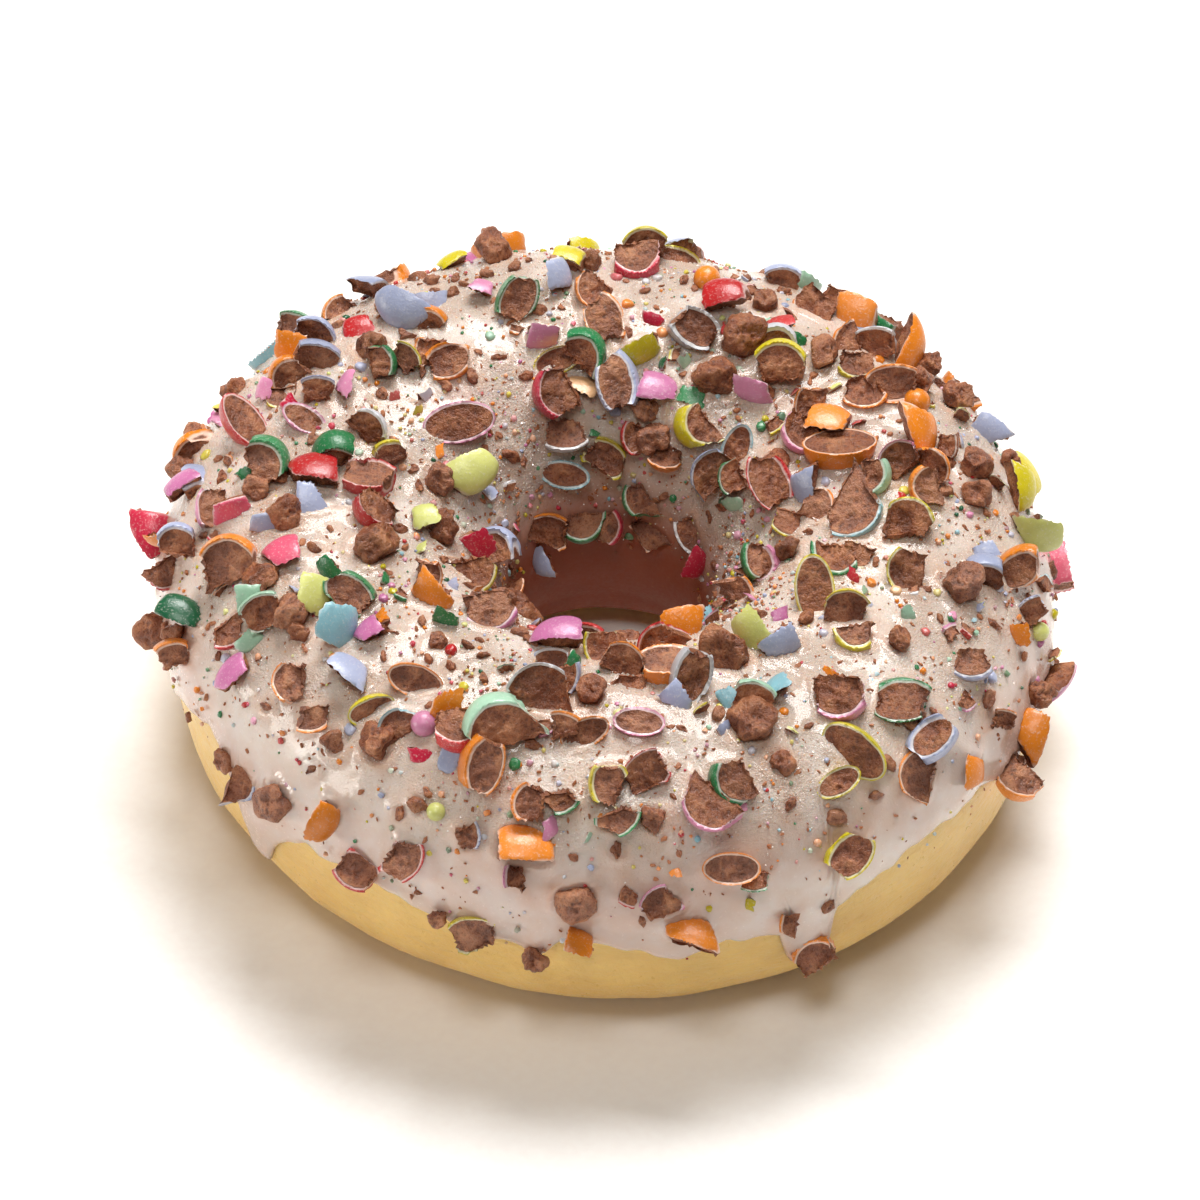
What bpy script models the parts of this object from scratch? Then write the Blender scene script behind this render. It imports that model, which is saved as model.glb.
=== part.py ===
"""A ring doughnut, glazed white and strewn with crushed sugar-shelled chocolate lentils.

Two solids: the fried dough ring and the glaze on it, with the larger pieces of lentil fused to the glaze.
Run with: blender --background --python part.py
"""

import math
import random

import bmesh
import bpy
import numpy as np
from mathutils import Matrix, Vector

MM = 0.001

# The ring. Its tube is a superellipse, cut flat where the ring rests.
RING_RADIUS = 27.5 * MM  # from the ring's axis to the middle of its tube
TUBE_HALF_WIDTH = 17.0 * MM
TUBE_MIDDLE_HEIGHT = 16.4 * MM
TOP_RISE = 17.2 * MM  # from the tube's middle to its crown
BELLY_DROP = 17.7 * MM  # more than the middle's height, which leaves the flat
TUBE_POWER = 2.25  # 2 is an ellipse, and more is squarer
RING_AXIS_AT = (0.585 * MM, 0.722 * MM)  # where the ring's axis stands, with the whole part's box centred on the origin

# How the ring is out of round and uneven in height, as shares for cosine and sine of 1, 2 and 3 turns.
ROUND_SWELL = ((0.0, 0.0), (0.023, -0.017), (-0.001, 0.011))
HEIGHT_SWELL = ((-0.034, 0.048), (-0.030, 0.005))

# The glaze, in directions round the tube: 0 is its outer side, 90 the crown, 180 the side in the hole.
GLAZE_INSET = 1.3 * MM  # how far the dough lies under the glaze's face
GLAZE_GAP = 0.3 * MM
GLAZE_LEAST = 0.45 * MM
OUTER_EDGE = -5.0
INNER_EDGE = 186.0
# Where the glaze runs down further or stops short: azimuth, half width and drop, in degrees.
DRIPS = (
    (215.5, 3.2, 24.0),
    (297.0, 3.6, 24.0),
    (280.0, 3.5, 7.0),
    (260.5, 3.5, 9.0),
    (20.0, 12.0, 4.0),
    (40.0, 8.0, 6.0),
    (100.0, 14.0, 5.0),
    (124.0, 6.0, 7.0),
    (160.0, 9.0, 6.0),
    (178.0, 7.0, 8.0),
    (205.0, 6.0, -12.0),
    (226.0, 5.0, -5.0),
    (318.0, 11.0, -11.0),
    (345.0, 5.0, -3.0),
)
COLUMNS = 60
OUTSIDE_ROWS = 12
COVERED_ROWS = 8  # the dough and the glaze's inner face share these, which keeps them apart
BARE_ROWS = (-18.0, -35.0, -50.0, -66.6, -90.0, -113.4, -128.0, -145.0, -160.0)

# A whole lentil, and the pieces' common measures.
LENTIL_ACROSS = 7.6 * MM
LENTIL_THICK = 4.1 * MM
SINK = 0.45 * MM  # how deep a small piece sits in the glaze, and the share of its width that a large one does
SINK_SHARE = {"cut": 0.19, "dome": 0.18, "rind": 0.28, "lump": 0.23}
DEEPEST = 0.55 * MM  # below this a piece is flattened
SLOPE = math.radians(46.0)  # pieces are listed as seen from the front and this far above the table
SPREAD_SEED = 21
SPREAD_COUNT = 32

# The larger pieces in sight: kind, azimuth, direction round the tube, width in mm, then which way the piece's long
# side or its shell points, and which way and how far its face leans, in degrees on the slope they are seen on.
PIECES = (
    # left shoulder and crown, from the back round to the side
    ("rind", 139, 55, 5.0, 60, 250, 30),
    ("dome", 129, 73, 5.8, -35, 60, 20),
    ("dome", 144, 54, 5.0, -30, 100, 10),
    ("rind", 145, 67, 5.2, 80, 270, 20),
    ("cut", 161, 56, 6.8, -52, 40, 35),
    ("rind", 161, 28, 4.8, 170, 250, 30),
    ("cut", 160.5, 79, 5.0, -30, 60, 25),
    ("rind", 169, 72, 5.4, 50, 230, 10),
    ("rind", 166, 90, 4.8, 100, 270, 40),
    ("dome", 172, 87, 6.4, 20, 80, 15),
    ("rind", 174.5, 101, 5.4, -100, 90, 45),
    ("rind", 184, 102, 5.2, -130, 50, 40),
    ("lump", 194, 101, 5.4, 0, 90, 0),
    # left flank
    ("dome", 172, 16, 5.0, 80, 190, 30),
    ("lump", 182.5, 79, 4.8, 10, 90, 10),
    ("rind", 187.5, 57, 6.2, 100, 250, 20),
    ("dome", 190, 29, 4.8, -20, 200, 15),
    ("rind", 201, 60, 4.8, 110, 290, 10),
    ("lump", 205, 67, 5.0, 0, 90, 0),
    ("dome", 203.5, 78, 5.0, 60, 120, 15),
    ("rind", 206.5, 88, 5.2, 45, 210, 10),
    ("dome", 213, 78, 5.2, 90, 200, 10),
    ("dome", 221, 69, 4.8, -20, 90, 10),
    ("cut", 229, 62, 5.0, 20, 290, 25),
    ("lump", 233, 53, 4.8, 40, 90, 0),
    ("dome", 229.5, 15, 4.8, 70, 240, 10),
    ("lump", 220, 8, 4.8, 80, 260, 10),
    # front crown and front flank
    ("cut", 232, 79, 5.8, -20, 300, 15),
    ("rind", 245, 67, 5.4, -80, 100, 35),
    ("rind", 249, 77, 7.0, 120, 300, 15),
    ("rind", 254.5, 93, 6.8, 115, 290, 15),
    ("rind", 250, 60, 6.0, -10, 200, 10),
    ("cut", 266, 79, 5.2, 25, 270, 10),
    ("dome", 258.5, 35, 6.4, -5, 90, 15),
    ("rind", 276, 66, 5.0, 120, 280, 10),
    ("cut", 276, 83, 5.2, -5, 90, 15),
    ("lump", 266, 15, 4.8, 70, 270, 10),
    ("rind", 252.5, -1, 5.0, 90, 270, 25),
    ("rind", 290, 100, 5.6, 160, 320, 10),
    ("rind", 285, 104, 5.8, -80, 90, 45),
    ("lump", 297, 78, 5.6, 0, 90, 0),
    ("rind", 312.5, 71, 5.8, -80, 110, 20),
    ("cut", 309.5, 54, 7.5, -40, 230, 15),
    ("cut", 304.5, 46, 4.8, 30, 90, 5),
    ("rind", 288.5, 57, 5.2, -150, 20, 15),
    ("rind", 284, 48, 6.0, -120, 60, 25),
    ("cut", 286.5, 27, 5.8, 0, 270, 5),
    ("dome", 280.5, 4, 5.4, 0, 110, 10),
    ("rind", 303, 18, 5.0, -35, 140, 10),
    ("rind", 297.5, -17, 4.8, 120, 270, 20),
    # right flank
    ("rind", 321, 59, 5.8, -90, 90, 10),
    ("rind", 321, 41, 5.4, -60, 120, 15),
    ("rind", 315.5, 35, 5.2, 170, 0, 15),
    ("dome", 338.5, 8, 5.0, 60, 340, 20),
    ("rind", 333.5, -3, 5.2, -120, 60, 20),
    ("dome", 347, 5, 5.2, 0, -10, 80),
    ("rind", 357, 43, 4.8, 110, 250, 20),
    ("lump", 348, 65, 5.2, 0, 90, 0),
    ("dome", 5.5, 30, 5.6, -25, 20, 20),
    ("dome", 12.5, 35, 5.0, 80, 20, 20),
    # right crown
    ("rind", 346, 84, 5.2, 180, 0, 10),
    ("rind", 333, 93, 5.0, 90, 270, 10),
    ("cut", 335.5, 105, 7.2, 95, 270, 5),
    ("rind", 345, 102, 4.8, -90, 90, 15),
    ("rind", 0.5, 84, 5.4, 75, 260, 10),
    ("rind", 15.5, 84, 4.8, 110, 290, 15),
    ("dome", 19.5, 73, 5.8, 80, 0, 25),
    ("rind", 359.5, 97.5, 6.6, -50, 130, 20),
    ("cut", 19.5, 98, 7.6, 10, 90, 50),
    ("rind", 28, 107, 4.8, -120, 60, 15),
    ("dome", 29, 95, 5.0, -30, 130, 15),
    ("rind", 32, 70, 5.6, 100, 280, 15),
    ("rind", 48, 92, 5.8, 90, 260, 10),
    ("dome", 38.5, 50, 5.2, 60, 30, 25),
    ("rind", 42, 59, 4.8, 90, 230, 15),
    ("rind", 52.5, 66, 5.2, -130, 90, 15),
    ("lump", 57.5, 92, 5.8, 70, 90, 0),
    ("rind", 68.5, 96, 5.2, 65, 260, 10),
    ("dome", 67, 79, 5.2, -10, 170, 15),
    # back crown
    ("cut", 78, 63, 5.2, -20, 90, 15),
    ("rind", 84.5, 74, 5.4, -80, 90, 30),
    ("rind", 84, 57, 5.2, 95, 270, 10),
    ("rind", 91.5, 101, 5.2, 210, 60, 20),
    ("rind", 109.5, 88, 5.2, 150, 330, 10),
    ("cut", 105, 114, 5.0, 20, 270, 10),
    ("rind", 96, 110, 5.0, 60, 240, 15),
    ("rind", 86, 124, 6.2, 200, 30, 10),
    ("rind", 110, 126, 5.8, 190, 20, 20),
    ("rind", 132, 101, 4.8, -80, 90, 15),
    ("lump", 107.5, 51, 4.8, 70, 90, 30),
    # inside the hole and round its rim
    ("lump", 70, 142, 4.8, 0, 90, 0),
    ("rind", 108, 143, 4.8, -90, 90, 20),
    ("cut", 111, 155, 5.2, -10, 270, 10),
    ("cut", 142, 119, 7.4, 10, 270, 0),
    ("dome", 151, 135, 5.6, 25, 100, 20),
    ("rind", 163, 158, 5.0, 90, 200, 20),
    ("rind", 203, 139, 5.0, -60, 120, 10),
    ("dome", 215, 109, 5.2, -20, 90, 10),
    ("rind", 231, 119, 5.8, -80, 90, 20),
    ("dome", 254, 124, 5.8, 15, 100, 15),
    ("rind", 275, 112, 4.8, 50, 250, 10),
    ("rind", 285, 121, 5.2, 150, 300, 15),
    ("lump", 302, 108, 6.0, -30, 90, 0),
    ("dome", 300, 135, 5.4, 0, 90, 30),
    ("dome", 313, 111, 5.0, -40, 60, 20),
    ("dome", 314.5, 99, 5.0, 0, 60, 15),
    ("rind", 63, 173, 4.8, 40, 220, 10),
    ("rind", 38, 165, 4.8, 210, 60, 10),
    ("rind", 57, 131, 5.0, 200, 20, 10),
    ("lump", 57.5, 111, 5.2, 0, 90, 0),
    ("dome", 46.5, 107, 4.8, -20, 180, 15),
    ("cut", 38.5, 127, 5.4, 70, 270, 5),
    ("rind", 43, 140, 5.4, 140, 320, 10),
    ("rind", 21, 124, 5.8, 200, 30, 10),
)


def smooth_step(value, start, end):
    x = np.clip((value - start) / (end - start), 0.0, 1.0)
    return x * x * (3.0 - 2.0 * x)


def swell(azimuth, shares):
    turns = (np.cos(k * azimuth) * c + np.sin(k * azimuth) * s for k, (c, s) in enumerate(shares, 1))
    return 1.0 + sum(turns)


def ring_point(azimuth, around, inset=0.0):
    """The ring's surface at an azimuth and a direction round the tube, in radians, or a face inset from it."""
    c, s = np.cos(around), np.sin(around)
    out = (TUBE_HALF_WIDTH - inset) * np.sign(c) * np.abs(c) ** (2 / TUBE_POWER)
    rise = np.where(s > 0, TOP_RISE, BELLY_DROP) - inset
    up = rise * np.sign(s) * np.abs(s) ** (2 / TUBE_POWER)
    spare = (RING_RADIUS + TUBE_HALF_WIDTH) * (swell(azimuth, ROUND_SWELL) - 1.0)
    radius = RING_RADIUS + out + spare * np.clip((out / TUBE_HALF_WIDTH + 1.0) / 2.0, 0.0, 1.0)
    height = np.maximum(TUBE_MIDDLE_HEIGHT + up, 0.0) * swell(azimuth, HEIGHT_SWELL)
    x = RING_AXIS_AT[0] + radius * np.cos(azimuth)
    y = RING_AXIS_AT[1] + radius * np.sin(azimuth)
    return np.stack([x, y, height], -1)


def ring_normal(azimuth, around):
    step = 0.001
    along = ring_point(azimuth + step, around) - ring_point(azimuth - step, around)
    across = ring_point(azimuth, around + step) - ring_point(azimuth, around - step)
    normal = np.cross(along, across)
    return normal / np.linalg.norm(normal)


def tube_place(points):
    """Azimuth, direction round the tube and depth below the ring's surface of each point."""
    x, y = points[:, 0] - RING_AXIS_AT[0], points[:, 1] - RING_AXIS_AT[1]
    azimuth = np.arctan2(y, x)
    spare = (RING_RADIUS + TUBE_HALF_WIDTH) * (swell(azimuth, ROUND_SWELL) - 1.0)
    out = (np.hypot(x, y) - RING_RADIUS - spare / 2) / (1.0 + spare / 2 / TUBE_HALF_WIDTH)
    up = points[:, 2] / swell(azimuth, HEIGHT_SWELL) - TUBE_MIDDLE_HEIGHT
    rise = np.where(up > 0, TOP_RISE, BELLY_DROP)
    share = (np.abs(out / TUBE_HALF_WIDTH) ** TUBE_POWER + np.abs(up / rise) ** TUBE_POWER) ** (1 / TUBE_POWER)
    return azimuth, np.arctan2(up, out), (1.0 - share) * np.hypot(out, up) / np.maximum(share, 0.1)


def dough_inset(around):
    """How far the dough lies inside the ring's surface. It swells out to meet it below the glaze."""
    degrees = np.degrees(around) % 360.0
    degrees = np.where(degrees > 270.0, degrees - 360.0, degrees)
    return GLAZE_INSET * smooth_step(degrees, -38.0, -6.0) * smooth_step(-degrees, -222.0, -192.0)


def glaze_edges(azimuth):
    """The directions round the tube where the glaze ends, outside and in the hole, in degrees."""
    turn = np.degrees(azimuth) % 360.0
    outer = OUTER_EDGE + 1.2 * np.sin(7 * azimuth) + 0.9 * np.cos(17 * azimuth)
    for centre, half_width, drop in DRIPS:
        away = np.abs((turn - centre + 180.0) % 360.0 - 180.0)
        outer = outer - drop * (1.0 - smooth_step(away, 0.35 * half_width, 1.5 * half_width))
    inner = INNER_EDGE + 3.0 * np.sin(4 * azimuth + 1.0) + 2.0 * np.cos(9 * azimuth)
    return outer, inner


def columns():
    """Azimuths of the grid's columns: even ones, and more where the two long drips are."""
    even = set(np.round(np.arange(COLUMNS) * 360.0 / COLUMNS, 2))
    extra = {round(centre + side * width, 2) for centre, width, drop in DRIPS if drop > 20 for side in (-1.1, -0.45, 0.45, 1.1)}
    near = {a for a in even if any(abs(a - e) < 0.9 for e in extra)}
    return np.radians(sorted((even - near) | extra))


def grid_object(name, rows):
    """A closed body from rows of points, each row a loop, with the last row joined to the first."""
    count = len(rows[0])
    points = np.concatenate(rows)
    faces = []
    for r in range(len(rows)):
        here, after = r * count, (r + 1) % len(rows) * count
        for c in range(count):
            d = (c + 1) % count
            faces.append((here + c, here + d, after + d, after + c))
    mesh = bpy.data.meshes.new(name)
    mesh.from_pydata(points.tolist(), [], faces)
    made = bmesh.new()
    made.from_mesh(mesh)
    bmesh.ops.remove_doubles(made, verts=made.verts, dist=1e-7)
    bmesh.ops.triangulate(made, faces=made.faces)
    bmesh.ops.recalc_face_normals(made, faces=made.faces)
    made.to_mesh(mesh)
    made.free()
    body = bpy.data.objects.new(name, mesh)
    bpy.context.collection.objects.link(body)
    return body


def covered_rows(azimuth):
    outer, inner = glaze_edges(azimuth)
    return [np.radians(outer + (inner - outer) * k / COVERED_ROWS) for k in range(COVERED_ROWS + 1)]


def dough_object():
    azimuth = columns()
    rows = [ring_point(azimuth, around, dough_inset(around)) for around in covered_rows(azimuth)]
    lowest = np.degrees(covered_rows(azimuth)[0]).min()
    for degrees in reversed(BARE_ROWS):
        around = np.full_like(azimuth, math.radians(degrees))
        if degrees > -66.0:
            # The rows just under the glaze follow its edge down where it drips.
            share = (degrees + 66.6) / (OUTER_EDGE + 66.6)
            around = math.radians(-66.6) + share * (np.minimum(covered_rows(azimuth)[0], math.radians(OUTER_EDGE)) + math.radians(66.6))
        if degrees < -114.0:
            share = (degrees + 113.4) / (INNER_EDGE - 360.0 + 113.4)
            around = math.radians(-113.4) + share * (covered_rows(azimuth)[-1] - math.radians(360.0 - 113.4))
        rows.append(ring_point(azimuth, around, dough_inset(around)))
    return grid_object("dough", rows)


def glaze_object():
    azimuth = columns()
    outer, inner = glaze_edges(azimuth)
    under = [ring_point(azimuth, around, dough_inset(around) - GLAZE_GAP) for around in covered_rows(azimuth)]
    face = []
    lip = 3.0
    shares = [0.0] + list(np.linspace(lip / 190.0, 1.0 - lip / 190.0, OUTSIDE_ROWS)) + [1.0]
    for share in shares:
        around = np.radians(outer + (inner - outer) * share)
        at_lip = share in (0.0, 1.0)
        below = dough_inset(around) - GLAZE_GAP
        inset = below - GLAZE_LEAST if at_lip else np.minimum(0.0, below - 1.5 * GLAZE_LEAST)
        face.append(ring_point(azimuth, around, inset))
    return grid_object("icing", under + face[::-1])


def seen_direction(degrees):
    """A direction across the slope that the pieces are listed on: 0 is right, 90 back and up."""
    turn = math.radians(degrees)
    back_up = np.array([0.0, math.sin(SLOPE), math.cos(SLOPE)])
    return math.cos(turn) * np.array([1.0, 0.0, 0.0]) + math.sin(turn) * back_up


def out_of_slope():
    return np.array([0.0, -math.cos(SLOPE), math.sin(SLOPE)])


def frame_of(facing, along):
    """A rotation whose Z is facing and whose X is as near along as that allows."""
    z = facing / np.linalg.norm(facing)
    x = along - z * np.dot(along, z)
    x /= np.linalg.norm(x)
    return np.stack([x, np.cross(z, x), z], 1)


def rays():
    """Directions spread evenly over a ball."""
    k = np.arange(640) + 0.5
    height = 1.0 - 2.0 * k / 640
    turn = math.pi * (1.0 + math.sqrt(5.0)) * k
    flat = np.sqrt(1.0 - height**2)
    return np.stack([flat * np.cos(turn), flat * np.sin(turn), height], 1)


RAYS = rays()
CORNERS = np.array([(x, y, z) for x in (-1, 0, 1) for y in (-1, 0, 1) for z in (-1, 0, 1) if x or y or z], float)
CORNERS = CORNERS[np.abs(CORNERS).sum(1) != 2]


def turned(normal, axis, degrees):
    return np.array(Matrix.Rotation(math.radians(degrees), 3, Vector(axis)) @ Vector(normal))


def breaks_and_lentil(kind, size, draw):
    """The flat breaks of a piece, as (normal, distance), and the lentil it came from, as (centre, axis, across, thick)."""
    s = size
    if kind == "cut":  # a half, its lens-shaped cut face along Z
        centre = np.array([0.0, 0.0, 0.18 * s])
        lentil = (centre, turned((0, 1, 0), (1, 0, 0), draw.uniform(-8, 8)), s, max(0.56 * s, 2.6 * MM))
        return [(np.array([0.0, 0.0, 1.0]), 0.18 * s), (turned((0, 0, -1), (1, 0, 0), draw.uniform(-20, 20)), 0.24 * s)], lentil
    if kind == "dome":  # the shell along Z, longest along X, with the lentil's round edge on a long side and breaks on the others
        toward = draw.choice((90, 270)) + draw.uniform(-25, 25)
        edge = turned((1, 0, 0), (0, 0, 1), toward)
        over, lean = np.cross((0.0, 0.0, 1.0), edge), draw.uniform(2, 26)
        axis, edge = turned((0, 0, 1), over, lean), turned(edge, over, lean)
        aside = max(LENTIL_ACROSS / 2 - 0.36 * s, 0.0)
        below = LENTIL_THICK / 2 * math.sqrt(1.0 - (2 * aside / LENTIL_ACROSS) ** 2) - 0.26 * s
        lentil = (-edge * aside - axis * below, axis, LENTIL_ACROSS, LENTIL_THICK)
        sides = []
        for away, reach in ((86, 0.48), (180, 0.33), (274, 0.46)):
            normal = turned(turned((1, 0, 0), (0, 1, 0), draw.uniform(-12, 18)), (0, 0, 1), toward + away + draw.uniform(-24, 24))
            sides.append((normal, s * reach * draw.uniform(0.86, 1.06)))
        return sides + [(np.array([0.0, 0.0, -1.0]), 0.26 * s)], lentil
    if kind == "rind":  # a brown break along Z, with the shell on the side along X
        axis = turned(turned((1, 0, 0), (0, 1, 0), draw.uniform(-4, 30)), (0, 0, 1), draw.uniform(-12, 12))
        thick = LENTIL_THICK if draw.random() < 0.35 else 1.5 * s
        middle = np.array([0.0, 0.0, draw.uniform(-0.04, 0.30) * s])  # where this is high, only the rim of the shell shows
        lentil = (middle - axis * (thick / 2 - 0.36 * s), axis, max(1.2 * s, 0.68 * LENTIL_ACROSS), thick)
        breaks = [
            (turned((0, 0, 1), (0, 1, 0), draw.uniform(-10, 10)), 0.33 * s),
            (turned((-1, 0, 0), (0, 0, 1), draw.uniform(-25, 25)), 0.40 * s),
            (turned((0, 1, 0), (0, 0, 1), draw.uniform(-22, 22)), 0.44 * s),
            (turned((0, -1, 0), (0, 0, 1), draw.uniform(-22, 22)), 0.44 * s),
            (np.array([0.0, 0.0, -1.0]), 0.36 * s),
        ]
        return breaks, lentil
    if kind == "chip":  # a flake of shell with a little chocolate on its back
        axis = turned((0, 0, 1), (0, 1, 0), draw.uniform(-10, 10))
        lentil = (-axis * (LENTIL_THICK / 2 - 0.14 * s), axis, LENTIL_ACROSS, LENTIL_THICK)
        turn = draw.uniform(0, 90)
        sides = [(turned((1, 0, 0), (0, 0, 1), turn + 90 * k + draw.uniform(-20, 20)), s * (0.48 if k % 2 else 0.32)) for k in range(4)]
        return sides + [(np.array([0.0, 0.0, -1.0]), 0.12 * s)], lentil
    # A lump of bare chocolate, or a ball.
    centre = np.zeros(3)
    if kind == "ball":
        return [], (centre, np.array([0.0, 0.0, 1.0]), s, s)
    sides = []
    turn = draw.uniform(0, 72)
    for k in range(5):
        sides.append((turned(turned((1, 0, 0), (0, 1, 0), draw.uniform(-40, 25)), (0, 0, 1), turn + 72 * k + draw.uniform(-20, 20)), s * draw.uniform(0.34, 0.48)))
    sides.append((turned((0, 0, 1), (1, 0, 0), draw.uniform(-30, 30)), 0.34 * s))
    sides.append((turned((0, 0, -1), (0, 1, 0), draw.uniform(-15, 15)), 0.34 * s))
    return sides, (centre, np.array([0.0, 0.0, 1.0]), 1.12 * s, 1.0 * s)


def piece_corners(kind, size, draw):
    """The corners of a piece about its middle: where the lentil's face and the breaks lie furthest each way."""
    breaks, (centre, axis, across, thick) = breaks_and_lentil(kind, size, draw)
    # Rays from the middle to the lentil's face, with the lentil squashed to a ball.
    squash = np.eye(3) / (across / 2) + np.outer(axis, axis) * (2 / thick - 2 / across)
    ray, start = RAYS @ squash, -squash @ centre
    b, c, a = ray @ start, start @ start - 1.0, (ray**2).sum(1)
    reach = (-b + np.sqrt(np.maximum(b * b - a * c, 0.0))) / a
    for normal, distance in breaks:
        lean = RAYS @ normal
        reach = np.where(lean > 1e-6, np.minimum(reach, distance / np.maximum(lean, 1e-6)), reach)
    points = RAYS * reach[:, None]
    return points[np.unique((points @ CORNERS.T).argmax(0))]


def settle(kind, corners, frame, azimuth, around, seen):
    """The corners in place: turned, set on the glaze, and lifted where they would go through it."""
    base, normal = ring_point(azimuth, around), ring_normal(azimuth, around)
    placed = corners @ frame.T
    height = -(placed @ normal).min() - max(SINK, SINK_SHARE[kind] * np.ptp(corners, axis=0).max())
    lift = normal * height
    if seen:
        # The place was read where the piece hides the ring, so it stands out along the line of sight.
        slant = max(float(np.dot(normal, out_of_slope())), 0.5)
        sight = out_of_slope() / slant
        lift = height * (sight + normal * (1.0 - float(np.dot(sight, normal))))
    placed = placed + base + lift
    for _ in range(3):
        at, tube, depth = tube_place(placed)
        most = np.minimum(DEEPEST, dough_inset(tube) - 0.75 * MM)
        outward = np.stack([ring_normal(a, t) for a, t in zip(at, tube)])
        placed = placed + outward * np.maximum(depth - most, 0.0)[:, None]
    placed[:, 2] = np.maximum(placed[:, 2], 0.2 * MM)
    return placed


def hull_object(name, points, collection):
    mesh = bpy.data.meshes.new(name)
    made = bmesh.new()
    for point in points:
        made.verts.new(point)
    result = bmesh.ops.convex_hull(made, input=made.verts)
    loose = {g for g in result["geom_interior"] + result["geom_unused"] if isinstance(g, bmesh.types.BMVert)}
    bmesh.ops.delete(made, geom=list(loose), context="VERTS")
    bmesh.ops.triangulate(made, faces=made.faces)
    bmesh.ops.recalc_face_normals(made, faces=made.faces)
    made.to_mesh(mesh)
    made.free()
    body = bpy.data.objects.new(name, mesh)
    collection.objects.link(body)
    return body


def spread_places(count, taken):
    """Places for the pieces that can't be seen from the front, largest first and no two too close."""
    draw = random.Random(SPREAD_SEED)
    places = []
    tries = 0
    while len(places) < count and tries < 20000:
        tries += 1
        size = (5.6 - 1.6 * len(places) / count) * MM
        azimuth, around = math.radians(draw.uniform(5, 175)), math.radians(draw.uniform(-4, 48))
        if draw.random() < 0.25:  # the front of the hole
            azimuth, around = math.radians(draw.uniform(190, 350)), math.radians(draw.uniform(140, 180))
        outer, inner = glaze_edges(np.array([azimuth]))
        if math.degrees(around) < outer[0] + 5 or draw.random() > 0.35 + 0.65 * smooth_step(math.degrees(around), -5, 35):
            continue
        point = ring_point(azimuth, around)
        if all(np.linalg.norm(point - other) > 0.52 * (size + width) for other, width in taken):
            taken.append((point, size))
            kind = draw.choice(("rind", "rind", "dome", "lump", "cut"))
            places.append((kind, azimuth, around, size, draw.uniform(0, 360)))
    return places


def topping_objects(collection):
    """One closed hull for each of the larger pieces."""
    taken = []
    for index, (kind, azimuth, around, size, turn, tilt_to, tilt) in enumerate(sorted(PIECES, key=lambda row: -row[3])):
        draw = random.Random(f"{kind} {azimuth} {around}")
        lean = math.radians(tilt)
        facing = math.cos(lean) * out_of_slope() + math.sin(lean) * seen_direction(tilt_to)
        place = math.radians(azimuth), math.radians(around)
        corners = piece_corners(kind, size * MM, draw)
        placed = settle(kind, corners, frame_of(facing, seen_direction(turn)), *place, seen=True)
        hull_object(f"piece_{index}", placed, collection)
        taken.append((placed.mean(0), size * MM))
    for index, (kind, azimuth, around, size, turn) in enumerate(spread_places(SPREAD_COUNT, taken)):
        draw = random.Random(f"{kind} {azimuth:.4f} {around:.4f}")
        normal = ring_normal(azimuth, around)
        along = np.array(Matrix.Rotation(math.radians(turn), 3, Vector(normal)) @ Vector(normal).orthogonal())
        placed = settle(kind, piece_corners(kind, size, draw), frame_of(normal, along), azimuth, around, seen=False)
        hull_object(f"spread_{index}", placed, collection)


def fuse(body, collection):
    """One union of the body with everything in the collection, which is then removed, with scraps and sealed hollows."""
    union = body.modifiers.new("Toppings", "BOOLEAN")
    union.operation = "UNION"
    union.operand_type = "COLLECTION"
    union.collection = collection
    union.solver = "MANIFOLD"
    graph = bpy.context.evaluated_depsgraph_get()
    fused = bpy.data.meshes.new_from_object(body.evaluated_get(graph))
    body.modifiers.clear()
    old = body.data
    body.data = fused
    fused.name = body.name
    bpy.data.meshes.remove(old)
    for piece in list(collection.objects):
        bpy.data.meshes.remove(piece.data)
    bpy.data.collections.remove(collection)
    made = bmesh.new()
    made.from_mesh(fused)
    bmesh.ops.triangulate(made, faces=made.faces)
    islands, left = [], set(made.faces)
    while left:
        island, front = set(), [left.pop()]
        while front:
            face = front.pop()
            island.add(face)
            near = {other for edge in face.edges for other in edge.link_faces} & left
            left -= near
            front.extend(near)
        islands.append(island)
    largest = max(islands, key=len)
    scraps = [face for island in islands if island is not largest for face in island]
    bmesh.ops.delete(made, geom=scraps, context="FACES")
    made.to_mesh(fused)
    made.free()


def give_material(body, name, colour, roughness):
    material = bpy.data.materials.new(name)
    material.use_nodes = True
    shader = material.node_tree.nodes["Principled BSDF"]
    shader.inputs["Base Color"].default_value = (*colour, 1.0)
    shader.inputs["Roughness"].default_value = roughness
    shader.inputs["Metallic"].default_value = 0.0
    body.data.materials.clear()
    body.data.materials.append(material)


for leftover in list(bpy.data.objects):
    bpy.data.objects.remove(leftover)

give_material(dough_object(), "Fried dough", (0.53, 0.32, 0.11), 0.55)

icing = glaze_object()
toppings = bpy.data.collections.new("Toppings")
bpy.context.scene.collection.children.link(toppings)
topping_objects(toppings)
fuse(icing, toppings)
give_material(icing, "White glaze", (0.80, 0.72, 0.66), 0.3)
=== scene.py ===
"""A ring doughnut, glazed white and strewn with crushed sugar-shelled chocolate lentils, photographed in a studio."""

import math
import random

import bmesh
import bpy
import numpy as np
from mathutils import Matrix, Vector


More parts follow.
